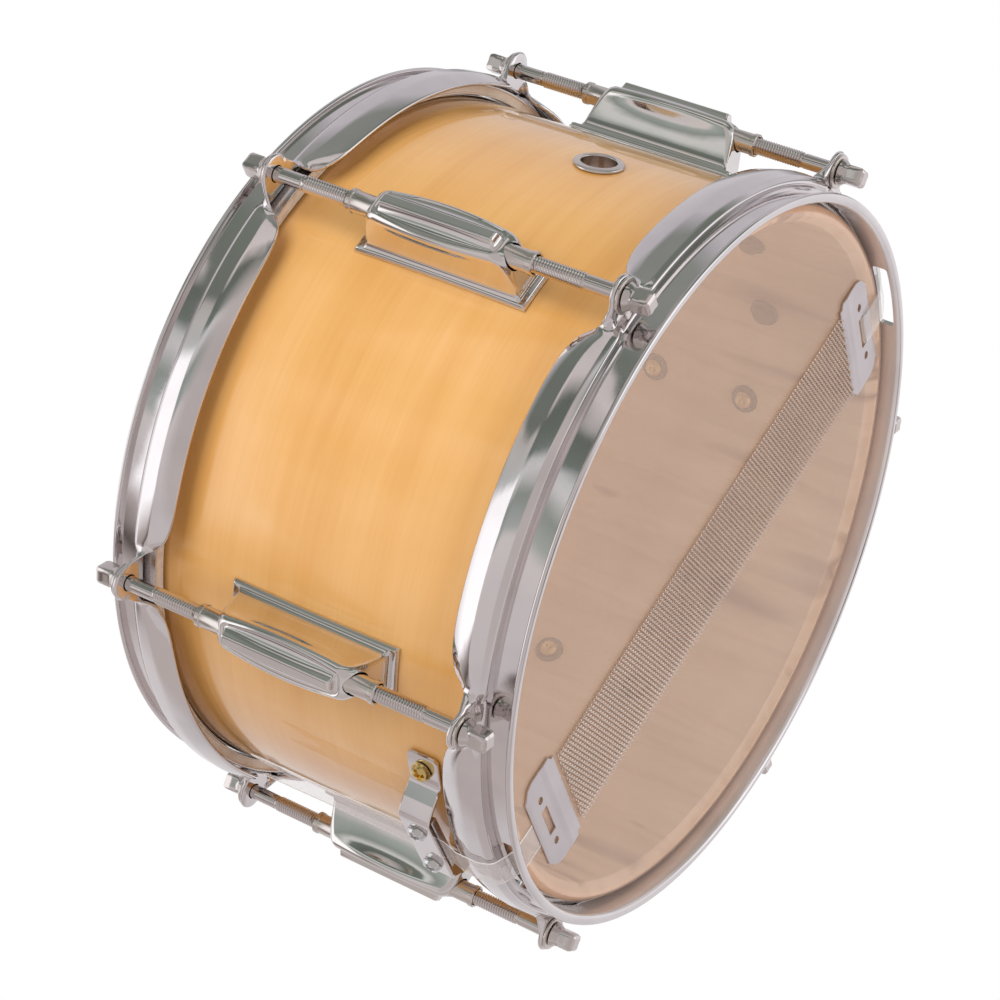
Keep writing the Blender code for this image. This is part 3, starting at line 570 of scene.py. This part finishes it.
def build_hoops():
    half = SECTOR / 2
    near = np.arange(0.0, 6.01, 0.4)
    far = np.linspace(6.8, half, 15)
    offsets = np.concatenate([near, far])
    offsets = np.concatenate([-offsets[:0:-1], offsets[:-1]])
    for side, flip in (("batter", False), ("snare", True)):
        rings = []
        for k in STATIONS:
            for offset in offsets:
                a = math.radians(k * SECTOR + offset)
                outline = thicken(hoop_section(abs(offset)), 1.6)
                rings.append([(r * math.cos(a), r * math.sin(a), z) for r, z in outline])
        matrix = station(0, flip=flip)
        hoop = skin(f"rim_{side}", rings, MATERIALS["chrome"], matrix, wrap=True, sharp=50)
        hoop.data.materials.append(MATERIALS["rim_inner"])
        for face in hoop.data.polygons:
            x, y, z = face.center
            face.material_index = int(math.hypot(x, y) < 128.9 * MM and z > 69.6 * MM)
        cutters = []
        for k in STATIONS:
            a = math.radians(k * SECTOR)
            x, y = ROD_CIRCLE * math.cos(a), ROD_CIRCLE * math.sin(a)
            cutters.append(rod_cutter(3.0, (x, y, 60), (x, y, 70), matrix, sides=24))
        if flip:
            for azimuth in (SNARE_AZIMUTH, STRAINER_AZIMUTH):
                wide = GATE_HALF_WIDTH
                gate = [(-wide, GATE_LOW), (wide, GATE_LOW), (wide, GATE_HIGH), (-wide, GATE_HIGH)]
                outline = rounded(gate, 1.4, closed=True, steps=4)
                rings = [[(x, t, -z) for t, z in outline] for x in (124.0, 132.6)]
                cutters.append(skin("gate", rings, None, station(azimuth)))
        carve(hoop, cutters, sharp=50, folded=True)
        stand_for(hoop, f"hoop_{side}")


# ---------------------------------------------------------------- lugs and tension rods

def lug_contour(level, half_width, half_length, corner, boat):
    """A lug's outline at one height: long sides that bow outwards, with rounded corners."""
    side = np.linspace(-1, 1, 13) * (half_length - corner)
    bow = half_width * (1 - boat * (side / (half_length - corner)) ** 2)
    quarter = np.linspace(0, math.pi / 2, 6)[1:-1]
    end_half = bow[-1] - corner
    points = [(w, z) for w, z in zip(bow, side)]
    top = side[-1]
    points += [(end_half + corner * math.cos(a), top + corner * math.sin(a)) for a in quarter]
    points += [(w, half_length) for w in np.linspace(end_half, -end_half, 5)]
    points += [(-end_half - corner * math.sin(a), top + corner * math.cos(a)) for a in quarter]
    points += [(-w, -z) for w, z in points]
    return [(level, w, z) for w, z in points]


def lug_mesh():
    """The cast lug: hollow-sided box on a rimmed flange, with two scoops beside its top rib. A
    level is its radius, half width, half length, corner and how far its sides bow."""
    levels = [
        (126.9, 7.8, 30.4, 1.2, 0.0), (127.7, 7.3, 30.0, 1.2, 0.0),
        (128.3, 6.6, 29.5, 1.2, 0.0), (129.4, 6.15, 29.2, 1.4, 0.0),
        (131.5, 5.98, 28.9, 1.6, 0.0), (134.5, 5.95, 28.4, 2.0, 0.0),
        (137.5, 6.1, 27.9, 2.6, 0.03), (139.8, 6.7, 27.4, 3.2, 0.11),
        (141.4, 7.45, 26.8, 3.6, 0.17), (142.6, 7.8, 26.1, 3.6, 0.2),
        (143.5, 7.7, 25.3, 3.4, 0.22), (144.2, 7.35, 24.4, 3.2, 0.24),
        (144.6, 6.9, 23.8, 2.9, 0.26), (144.65, 6.5, 23.3, 2.6, 0.27),
        (144.4, 6.1, 22.9, 2.3, 0.28), (144.3, 5.4, 22.4, 1.9, 0.28),
        (144.5, 4.4, 22.0, 1.4, 0.24), (145.1, 3.3, 21.7, 1.0, 0.16),
        (145.9, 2.5, 21.5, 0.8, 0.08), (146.7, 2.05, 21.3, 0.7, 0.02),
        (147.2, 1.85, 21.1, 0.6, 0.0), (147.42, 1.5, 20.8, 0.5, 0.0),
        (147.45, 0.9, 20.4, 0.3, 0.0),
    ]
    body = skin("lug_body", [lug_contour(*level) for level in levels], MATERIALS["lug"])
    rim = [0.0, 0.5, 1.0, 1.5, 2.2, 3.2]
    rise = [0.4, 1.5, 1.75, 1.5, 1.05, 1.1]
    base = SHELL_OUTER + 0.3

    def lift(inset):
        return float(np.interp(inset, rim, rise))

    wide, long = FLANGE_HALF_WIDTH, FLANGE_HALF_LENGTH
    ts = [-wide + r for r in rim] + [0.0] + [wide - r for r in rim[::-1]]
    zs = [-long + r for r in rim] + [-20, 0.0, 20] + [long - r for r in rim[::-1]]
    rings = []
    for z in zs:
        pinch = 1 - 0.05 * (1 - (z / long) ** 2)
        ring = []
        for t in ts:
            inset = min(wide - abs(t), long - abs(z))
            a = t * pinch / base
            radius = base + lift(inset)
            ring.append((radius * math.cos(a), radius * math.sin(a), z))
        for t in ts[::-1]:
            a = t * pinch / base
            ring.append((base * math.cos(a), base * math.sin(a), z))
        rings.append(ring)
    flange = skin("lug_flange", rings, MATERIALS["lug"])
    carve(body, [flange], "UNION")
    mouth = rod_cutter(4.25, (ROD_CIRCLE, 0, -40), (ROD_CIRCLE, 0, 40))
    carve(body, [mouth], sharp=40)
    even = body.modifiers.new("Even", "WEIGHTED_NORMAL")
    even.keep_sharp = True
    mesh = evaluated(body).data
    bpy.data.objects.remove(body, do_unlink=True)
    return mesh


def nut_mesh():
    half = [(3.6, 35.15), (4.0, 34.8), (4.0, 33.4), (3.65, 33.1), (3.65, 26.0), (4.0, 25.4),
            (4.0, 15.0), (3.6, 14.0)]
    bore = [(0.2, 20.0), (3.2, 20.0), (3.2, 34.9)]
    outer = half + [(r, -z) for r, z in half[::-1]]
    outline = bore + outer + [(r, -z) for r, z in bore[::-1]]
    return lathe("nut", outline, MATERIALS["nickel"], closed=False, steps=32)


def rod_radius(z, angle):
    """The tension rod's radius at a height and an angle about its own axis."""
    thread_end, seat = 53.5, 67.6
    if z <= thread_end:
        phase = (z - angle / (2 * math.pi)) % 1.0
        return 2.35 + 0.57 * (1 - abs(2 * phase - 1)) * smoothstep((thread_end - z) / 1.5 + 0.1)
    if z < seat:
        return 2.62
    square = min(3.15 / max(abs(math.cos(angle)), abs(math.sin(angle))), 4.05)
    heights = [seat, 67.8, 68.4, 68.7, 69.2, 70.2, 71.4]
    collar = float(np.interp(z, heights, [4.2, 4.6, 4.6, 4.4, 3.9, 3.5, 3.3]))
    if z < 69.3:
        return collar
    weight = smoothstep((z - 69.3) / 1.6)
    tip = float(np.interp(z, [75.2, 76.1, 76.7], [0.0, 0.35, 1.3]))
    return mix(collar, square, weight) - tip


def rod_piece(name):
    """A tension rod along +Z: rolled thread, plain shank, collar and square key head."""
    heights = list(np.arange(30.0, 53.6, 0.25)) + [53.8, 60.0, 67.55, 67.6, 67.9, 68.9, 69.2]
    heights += [69.5, 69.8, 70.3, 70.8, 71.3, 71.8, 72.3, 72.8, 75.2, 75.7, 76.1, 76.5, 76.7]
    angles = np.linspace(0, 2 * math.pi, 32, endpoint=False)
    rings = []
    for z in heights:
        radii = [rod_radius(z, a) for a in angles]
        rings.append([(r * math.cos(a), r * math.sin(a), z) for r, a in zip(radii, angles)])
    return skin(name, rings, MATERIALS["rod"], sharp=32)


def copy_of(mesh, name, matrix):
    obj = bpy.data.objects.new(name, mesh)
    bpy.context.scene.collection.objects.link(obj)
    obj.matrix_world = matrix
    return obj


def build_tension():
    lug = lug_mesh()
    nut = nut_mesh()
    rod = rod_piece("rod")
    ring = rounded([(3.3, 67.4), (6.0, 67.4), (6.0, 66.4), (3.3, 66.4)], 0.3, closed=True, steps=3)
    washer = lathe("washer", ring, MATERIALS["nickel"], steps=40)
    head = [(0.1, -3.0), (1.0, -3.4), (2.4, -3.1), (3.5, -1.9), (3.7, -0.9), (5.4, -0.9),
            (5.6, -0.4), (5.6, 0.0), (0.1, 0.0)]
    screw = lathe("lug_screw", head, MATERIALS["zinc"], closed=False, steps=24)
    screw.data.materials.append(MATERIALS["dark"])
    for face in screw.data.polygons:
        x, y, _ = face.center
        face.material_index = int(math.hypot(x, y) > 3.4 * MM)
    for k in STATIONS:
        number = k + 1
        azimuth = k * SECTOR
        stand_for(copy_of(lug, f"casting_{number}", station(azimuth)), f"lug_{number}")
        axis = (ROD_CIRCLE, 0, 0)
        stand_for(copy_of(nut.data, f"tube_nuts_{number}", station(azimuth, axis)),
                  f"nut_insert_{number}")
        for side, flip in (("batter", False), ("snare", True)):
            matrix = station(azimuth, axis, flip)
            stand_for(copy_of(rod.data, f"key_rod_{side}_{number}", matrix), f"rod_{side}_{number}")
            stand_for(copy_of(washer.data, f"ring_{side}_{number}", matrix),
                      f"washer_{side}_{number}")
            inner = station(azimuth, (SHELL_INNER - 0.1, 0, -LUG_SCREW_Z if flip else LUG_SCREW_Z))
            inner = inner @ OUTWARD
            ride_along(copy_of(screw.data, f"inner_screw_{side}_{number}", inner), f"lug_{number}")
    for template in (nut, rod, washer, screw):
        bpy.data.objects.remove(template, do_unlink=True)


# ---------------------------------------------------------------- snare belt

def build_wires():
    """Twenty coils side by side, each a real helix of round wire."""
    pitch, per_turn, sides = 1.62, 9, 5
    spacing, coil_radius, wire_radius = 2.15, 0.74, 0.27
    centre_z = -(FILM_TOP + 1.2)
    length = 196.0
    turns = int(length / pitch)
    s = np.arange(turns * per_turn + 1) / per_turn
    x = -length / 2 + s * pitch
    ring = np.arange(sides) / sides * 2 * math.pi
    verts = []
    faces = []
    for c in range(WIRE_COILS):
        y0 = (c - (WIRE_COILS - 1) / 2) * spacing
        phase = s * 2 * math.pi + c * 3.5
        radial = np.stack([np.zeros_like(s), np.cos(phase), np.sin(phase)], 1)
        tangent = np.stack([np.full_like(s, pitch / (2 * math.pi)), -coil_radius * np.sin(phase),
                            coil_radius * np.cos(phase)], 1)
        tangent /= np.linalg.norm(tangent, axis=1, keepdims=True)
        binormal = np.cross(tangent, radial)
        centre = np.stack([x, y0 + coil_radius * radial[:, 1],
                           centre_z + coil_radius * radial[:, 2]], 1)
        tube = (centre[:, None] + wire_radius * (np.cos(ring)[None, :, None] * radial[:, None]
                                                 + np.sin(ring)[None, :, None] * binormal[:, None]))
        start = c * len(s) * sides
        rows = grid_faces(len(s), sides, False)
        faces += [tuple(start + v for v in face) for face in rows]
        faces.append(tuple(start + j for j in range(sides))[::-1])
        faces.append(tuple(start + (len(s) - 1) * sides + j for j in range(sides)))
        verts.append(tube.reshape(-1, 3))
    wires = piece("coil_wires", np.vstack(verts), faces, MATERIALS["wire"], station(SNARE_AZIMUTH),
                  sharp=60)
    stand_for(wires, "snare_wires")


def plate_profile():
    """The end plate across its width: flat sheet, a pressed rib, and a turned-down edge."""
    z = -(FILM_TOP + 0.35) - 0.3
    line = [(98.4, z), (101.6, z - 0.1), (103.6, z - 0.28), (106.0, z - 0.05), (114.6, z),
            (116.2, z + 0.1)]
    return rounded(line, [0, 4.0, 4.0, 4.0, 1.0, 0], steps=4)


def plate_cutter(outline, matrix):
    """A cutter that goes straight through an end plate."""
    return skin("cutter", [[(x, t, z) for x, t in outline] for z in (-80, -70)], None, matrix)


def build_plates():
    for name, azimuth in (("butt", SNARE_AZIMUTH), ("strainer", STRAINER_AZIMUTH)):
        outline = thicken(plate_profile(), 0.55)
        matrix = station(azimuth)
        rings = [[(x, t, z) for x, z in outline] for t in (-26.2, 0, 26.2)]
        plate = skin(f"sheet_{name}", rings, MATERIALS["plate"], matrix)
        cutters = []
        for side in (-1, 1):
            corner = [(109.0, side * 28.0), (110.0, side * 26.6), (113.6, side * 24.6),
                      (115.6, side * 21.0), (118.0, side * 19.0), (118.0, side * 28.0)]
            corner = rounded(corner, [0, 1.0, 3.0, 3.0, 0, 0], closed=True, steps=5)
            notch = [(96.0, side * 23.8), (99.6, side * 23.8), (101.2, side * 28.0),
                     (96.0, side * 28.0)]
            notch = rounded(notch, [0, 0.8, 0, 0], closed=True, steps=4)
            hole = [(110 + 1.2 * math.cos(a), side * 13.4 + 1.9 * math.sin(a))
                    for a in np.linspace(0.1, 2 * math.pi + 0.1, 20, endpoint=False)]
            cutters += [plate_cutter(shape, matrix) for shape in (corner, notch, hole)]
        slot = rounded([(108.3, -7.7), (111.7, -7.7), (111.7, 7.7), (108.3, 7.7)], 0.4, closed=True)
        cutters.append(plate_cutter(slot, matrix))
        carve(plate, cutters)
        stand_for(plate, f"end_plate_{name}")


def strap_line(tail, leave, ending):
    """The strap's run from its clamp, over the hoop's skirt and through its gate."""
    line = tail + [(STRAP_RADIUS, leave), (134.9, leave - 3.2), (135.75, leave - 6.0),
                   (135.8, -64.6), (134.4, -69.4), (129.4, -72.2)] + ending
    radii = [0] * len(tail) + [6, 6, 6, 6, 6] + [8] * len(ending) + [0]
    return rounded(line, radii, steps=6)


def build_straps():
    butt_tail = [(134.9, 28.0), (134.4, -6.0), (STRAP_RADIUS, -30.0)]
    under, over = -73.76, -75.15
    ending = [(126.0, -73.6), (118.0, under), (112.7, under)]
    butt = strip("band_butt", strap_line(butt_tail, -50.0, ending), STRAP_HALF_WIDTH, 0.25,
                 MATERIALS["strap"], station(SNARE_AZIMUTH), border=MATERIALS["strap_edge"])
    notch = [[(x, 6.6, 30.0), (x, 0.4, 10.5), (x, -6.6, 30.0)] for x in (131.0, 138.0)]
    carve(butt, [skin("notch", notch, None, station(SNARE_AZIMUTH))])
    stand_for(butt, "strap_butt")
    ending = [(124.0, over + 0.4), (117.5, over), (112.0, over), (110.1, over + 0.9)]
    strainer_tail = [(STRAP_RADIUS, -40.9)]
    other = strip("band_strainer", strap_line(strainer_tail, -46.4, ending), STRAP_HALF_WIDTH,
                  0.4, MATERIALS["strap"], station(STRAINER_AZIMUTH))
    stand_for(other, "strap_strainer")


# ---------------------------------------------------------------- butt bracket and strainer

def cross_screw(name, mat, matrix, radius, height):
    """A pan-head screw along +Z with a cross recess, seated at its own origin."""
    outline = [(1.7, -3.0), (1.7, 0.0), (radius - 0.2, 0.0), (radius, 0.25),
               (radius * 0.97, height * 0.5), (radius * 0.8, height * 0.86),
               (radius * 0.45, height)]
    head = lathe(name, outline, mat, matrix, closed=False, steps=32)
    cutters = []
    for turn in (0.35, 0.35 + math.pi / 2):
        c, s = math.cos(turn), math.sin(turn)
        rings = []
        for z, long, wide in ((height * 0.3, radius * 0.36, 0.4),
                              (height + 0.4, radius * 0.78, 0.75)):
            corners = [(-long, -wide), (long, -wide), (long, wide), (-long, wide)]
            rings.append([(x * c - y * s, x * s + y * c, z) for x, y in corners])
        cutters.append(skin("recess", rings, None, matrix))
    return carve(head, cutters)


def build_butt():
    matrix = station(SNARE_AZIMUTH)
    radius = SHELL_OUTER + 0.5 + 0.75
    side = []
    for angle in (17.0, 15.0, 13.2, 11.4):
        a = math.radians(angle)
        side.append((radius * math.cos(a), radius * math.sin(a)))
    side += [(130.6, 21.9), (135.45, 18.2)]
    path = side + [(x, -y) for x, y in side[::-1]]
    radii = [0, 3, 3, 3.6, 6, 4.5, 4.5, 6, 3.6, 3, 3, 0]
    line = rounded(path, radii, steps=8)
    bracket = strip("omega_strip", line, 6.0, 1.4, MATERIALS["chrome"],
                    matrix @ Matrix.Translation((0, 0, BRACKET_Z * MM)), across="Z")
    cutters = []
    for sign in (-1, 1):
        for end in (-1, 1):
            a0 = math.radians(sign * 17.4)
            a1 = math.radians(sign * 16.1)
            z_edge = BRACKET_Z + end * 6.4
            z_in = BRACKET_Z + end * 4.2
            tri = [(a0, z_edge), (a1, z_edge),
                   (math.radians(sign * 16.7), mix(z_edge, z_in, 0.3)), (a0, z_in)]
            rings = [[(r * math.cos(a), r * math.sin(a), z) for a, z in tri]
                     for r in (122.0, 132.0)]
            cutters.append(skin("corner", rings, None, matrix))
    carve(bracket, cutters)
    stand_for(bracket, "butt_bracket")
    bar = block("clamp_plate", (130.6, -15, BRACKET_Z - 5), (133.6, 15, BRACKET_Z + 5),
                MATERIALS["plate"], matrix)
    soften(bar, 0.6, 3)
    stand_for(bar, "butt_clamp_bar")
    for number, sign in ((1, 1), (2, -1)):
        place = matrix @ Matrix.Translation(Vector((136.2, sign * 11.0, BRACKET_Z)) * MM)
        place = place @ OUTWARD
        screw = cross_screw(f"pan_screw_{number}", MATERIALS["screw"], place, 3.4, 2.4)
        stand_for(screw, f"butt_clamp_screw_{number}")
        place = station(SNARE_AZIMUTH + sign * 14.4, (SHELL_OUTER + 2.1, 0, BRACKET_Z))
        place = place @ OUTWARD
        screw = cross_screw(f"foot_screw_{number}", MATERIALS["brass"], place, 3.6, 2.7)
        stand_for(screw, f"butt_foot_screw_{number}")


def pivot(side):
    """A point on the strainer lever's axis."""
    return PIVOT_RADIUS, side, PIVOT_Z


def build_strainer():
    """The throw-off: a railed base, the sliding carriage, the strap clamp, knob and lever."""
    m = station(STRAINER_AZIMUTH)
    cast = MATERIALS["lug"]
    base = block("strainer_back", (126.4, -14.2, -44), (129.4, 14.2, 18), cast, m)
    parts = []
    for sign in (-1, 1):
        y0, y1 = sorted((sign * 11.2, sign * 14.2))
        parts.append(block("rail", (128.4, y0, -42), (139.4, y1, 4.5), None, m))
        ear = rounded([(128.4, 3.0), (139.4, 3.0), (143.0, 6.0), (143.0, 14.5), (128.4, 14.5)],
                      [0, 2, 2.5, 4.5, 0], closed=True, steps=5)
        parts.append(skin("ear", [[(x, y, z) for x, z in ear] for y in (y0, y1)], None, m))
    reach = np.radians(np.linspace(-12.5, 12.5, 25))
    radius = SHELL_OUTER + 1.3
    foot = [(radius * math.cos(a), radius * math.sin(a)) for a in reach]
    parts.append(strip("foot", foot, 6.0, 1.4, None, m @ Matrix.Translation((0, 0, FOOT_Z * MM)),
                       across="Z"))
    head = [(0.1, -3.6), (3.4, -3.4), (4.0, -1.2), (5.6, -1.1), (5.8, 0.0), (0.1, 0.0)]
    for number, turn in enumerate((-FOOT_TURN, FOOT_TURN)):
        place = station(STRAINER_AZIMUTH + turn, (SHELL_OUTER + 2.1, 0, FOOT_Z)) @ OUTWARD
        screw = cross_screw(f"base_screw_{number}", MATERIALS["screw"], place, 3.4, 2.4)
        ride_along(screw, "strainer_base")
        place = station(STRAINER_AZIMUTH + turn, (SHELL_INNER - 0.1, 0, FOOT_Z)) @ OUTWARD
        nut = lathe(f"base_nut_{number}", head, MATERIALS["dark"], place, closed=False, steps=24)
        ride_along(nut, "strainer_base")
    carve(base, parts, "UNION")
    carve(base, [rod_cutter(2.3, pivot(-20), pivot(20), m, 24)])
    soften(base, 0.5, 2)
    stand_for(base, "strainer_base")

    carriage = block("slide_block", (129.8, -10.8, -18), (141.0, 10.8, -5), cast, m)
    carve(carriage, [rod_cutter(2.4, (KNOB_RADIUS, 0, -25), (KNOB_RADIUS, 0, 0), m, 24)])
    stand_for(soften(carriage, 0.8, 3), "strainer_carriage")

    clamp = block("jaw_block", (129.8, -10.8, -46), (141.0, 10.8, -26), cast, m)
    socket = rod_cutter(2.4, (KNOB_RADIUS, 0, -37), (KNOB_RADIUS, 0, -20), m, 24)
    slit = block("slit", (133.6, -8.0, -50), (134.7, 8.0, -39.5), None, m)
    carve(clamp, [socket, slit])
    soften(clamp, 0.8, 3)
    stand_for(clamp, "strainer_clamp")
    for sign in (-1, 1):
        place = m @ Matrix.Translation(Vector((141.0, sign * 6.6, -41.5)) * MM)
        place = place @ OUTWARD
        screw = cross_screw(f"jaw_screw_{sign + 2}", MATERIALS["screw"], place, 2.8, 1.9)
        ride_along(screw, "strainer_clamp")

    teeth = 30
    heights = [-35.4, -35.4, -35.0, -4.7, -4.7, -4.2, -3.2, 1.8, 2.8, 3.3]
    radii = [0.2, 1.5, 1.95, 1.95, 5.8, 6.4, 6.9, 6.9, 6.3, 5.2]
    rings = []
    for z, r in zip(heights, radii):
        ring = []
        for i in range(teeth * 4):
            a = 2 * math.pi * i / (teeth * 4)
            knurl = 0.35 * (i % 4 in (0, 1)) if -4.0 < z < 2.5 and r > 6 else 0.0
            ring.append(((r - knurl) * math.cos(a), (r - knurl) * math.sin(a), z))
        rings.append(ring)
    place = station(STRAINER_AZIMUTH, (KNOB_RADIUS, 0, 0))
    knob = skin("knurled_knob", rings, MATERIALS["rod"], place)
    stand_for(knob, "strainer_knob")

    hub = rod_cutter(4.1, pivot(-10.6), pivot(10.6), m)
    hub.data.materials.append(cast)
    hub.name = "throw_lever"
    pin = rod_cutter(1.95, pivot(-13.6), pivot(13.6), m, 24)
    arm_line = rounded([(140.8, 9.5), (140.8, 29.5), (142.7, 44.0)], [0, 14, 0], steps=8)
    arm = strip("arm", arm_line, 7.0, 2.9, cast, m)
    carve(hub, [pin, arm], "UNION")
    soften(hub, 0.4, 2)
    stand_for(hub, "strainer_lever")


# ---------------------------------------------------------------- stage, light and camera

def build_stage():
    """A pale floor that is clear from underneath, since the camera looks up through it."""
    bpy.ops.mesh.primitive_plane_add(size=60.0)
    floor = bpy.context.object
    floor.name = "floor"
    mat, nodes, links, bsdf = shader("floor_pale", (0.90, 0.90, 0.90), 0.6)
    clear = nodes.new("ShaderNodeBsdfTransparent")
    side = nodes.new("ShaderNodeNewGeometry")
    both = nodes.new("ShaderNodeMixShader")
    links.new(side.outputs["Backfacing"], both.inputs["Fac"])
    links.new(bsdf.outputs["BSDF"], both.inputs[1])
    links.new(clear.outputs["BSDF"], both.inputs[2])
    links.new(both.outputs["Shader"], nodes["Material Output"].inputs["Surface"])
    floor.data.materials.append(mat)
    floor.visible_glossy = False
    floor.visible_diffuse = False
    floor.visible_transmission = False
    floor.visible_shadow = False


def area_light(name, place, target, size, power):
    light = bpy.data.lights.new(name, "AREA")
    light.shape = "RECTANGLE"
    light.size, light.size_y = size
    light.energy = power
    obj = bpy.data.objects.new(name, light)
    bpy.context.scene.collection.objects.link(obj)
    obj.location = place
    way = Vector(target) - Vector(place)
    obj.rotation_euler = way.to_track_quat("-Z", "Y").to_euler()
    return obj


# The camera as it was fitted to the drum's rims, ears and rods, in the row frame.
CAMERA_PLACE = Vector((-0.68767, -0.43519, -0.32702))
CAMERA_RIGHT = Vector((0.52446, -0.10121, -0.84540))
CAMERA_UP = Vector((0.39281, -0.85217, 0.34570))
CAMERA_BACK = CAMERA_RIGHT.cross(CAMERA_UP)


def along(nodes, links, vector, axis):
    node = nodes.new("ShaderNodeVectorMath")
    node.operation = "DOT_PRODUCT"
    node.inputs[1].default_value = axis
    links.new(vector, node.inputs[0])
    return node.outputs["Value"]


def build_light():
    """A pale studio in four zones, by direction from the drum: behind it, at its sides with a
    long white panel, in front with dark bands, and round the camera. A slow noise bends the
    bands. The camera itself sees plain white."""
    world = bpy.data.worlds.new("studio")
    bpy.context.scene.world = world
    world.use_nodes = True
    nodes, links = world.node_tree.nodes, world.node_tree.links
    background = nodes["Background"]
    way = nodes.new("ShaderNodeTexCoord").outputs["Generated"]
    wander = spread(nodes, links, noise(nodes, links, way, 2.3, 2.0), -0.10, 0.10)
    rise = nodes.new("ShaderNodeMath")
    links.new(along(nodes, links, way, CAMERA_UP), rise.inputs[0])
    links.new(wander, rise.inputs[1])
    height = spread(nodes, links, rise.outputs["Value"], 0.0, 1.0, -1.0, 1.0)
    front = ramp(nodes, links, height, [
        (0.00, (0.62, 0.59, 0.60)), (0.40, (0.66, 0.62, 0.63)), (0.50, (0.70, 0.66, 0.66)),
        (0.53, (0.42, 0.46, 0.44)), (0.60, (0.30, 0.34, 0.31)), (0.665, (0.70, 0.70, 0.70)),
        (0.69, (0.66, 0.68, 0.67)), (0.72, (0.18, 0.21, 0.19)), (0.80, (0.14, 0.16, 0.14)),
        (0.84, (0.72, 0.67, 0.66)), (1.00, (0.60, 0.57, 0.58))])
    side = ramp(nodes, links, height, [
        (0.00, (0.56, 0.51, 0.50)), (0.25, (0.54, 0.49, 0.48)), (0.29, (0.10, 0.08, 0.07)),
        (0.35, (0.50, 0.45, 0.44)), (0.39, (1.35, 1.35, 1.38)), (0.66, (1.30, 1.30, 1.33)),
        (0.685, (0.60, 0.62, 0.61)), (0.76, (0.52, 0.50, 0.48)), (0.78, (0.17, 0.19, 0.17)),
        (0.91, (0.19, 0.22, 0.19)), (0.97, (0.28, 0.30, 0.28))])
    back = ramp(nodes, links, height, [
        (0.00, (0.58, 0.55, 0.56)), (0.45, (0.85, 0.83, 0.85)), (0.62, (0.95, 0.94, 0.97)),
        (0.70, (0.30, 0.29, 0.30)), (0.76, (0.66, 0.64, 0.67)), (1.00, (0.58, 0.56, 0.60))])
    nearer = nodes.new("ShaderNodeMath")
    links.new(along(nodes, links, way, CAMERA_BACK), nearer.inputs[0])
    links.new(spread(nodes, links, height, 0.2, 0.0, 0.30, 0.55), nearer.inputs[1])
    toward = nearer.outputs["Value"]
    room = mixed(nodes, links, spread(nodes, links, toward, 0.0, 1.0, -0.30, -0.08), back, side)
    room = mixed(nodes, links, spread(nodes, links, toward, 0.0, 1.0, 0.455, 0.485), room, front)
    room = mixed(nodes, links, spread(nodes, links, toward, 0.0, 1.0, 0.78, 0.92), room,
                 (0.56, 0.52, 0.51))
    seen = nodes.new("ShaderNodeLightPath")
    colour = mixed(nodes, links, seen.outputs["Is Camera Ray"], room, (1.0, 1.0, 1.0))
    links.new(colour, background.inputs["Color"])
    background.inputs["Strength"].default_value = 1.0
    centre = Vector((0, 0, MID * MM))

    def at(x, y, z):
        return centre + CAMERA_RIGHT * x + CAMERA_UP * y + CAMERA_BACK * z

    for name, place, size, power in (("key", (-0.9, 0.9, 1.3), (1.4, 1.2), 20),
                                     ("fill", (1.2, -0.4, 1.2), (1.2, 1.4), 12),
                                     ("top", (0.2, 1.6, 0.2), (1.6, 0.8), 1.5)):
        light = area_light(name, at(*place), centre, size, power)
        light.visible_glossy = False


def build_camera():
    data = bpy.data.cameras.new("camera")
    data.sensor_width = 36.0
    data.lens = 92.16
    data.shift_x = -0.1074
    data.shift_y = 0.1044
    data.clip_start = 0.05
    camera = bpy.data.objects.new("camera", data)
    bpy.context.scene.collection.objects.link(camera)
    turn = Matrix((CAMERA_RIGHT, CAMERA_UP, CAMERA_BACK)).transposed().to_4x4()
    camera.matrix_world = Matrix.Translation(CAMERA_PLACE) @ turn
    bpy.context.scene.camera = camera


build_shell()
build_heads()
build_hoops()
build_tension()
build_wires()
build_plates()
build_straps()
build_butt()
build_strainer()
build_stage()
build_light()
build_camera()
view = bpy.context.scene.view_settings
view.view_transform = "Standard"
view.look = "None"
bpy.context.scene.cycles.use_denoising = True
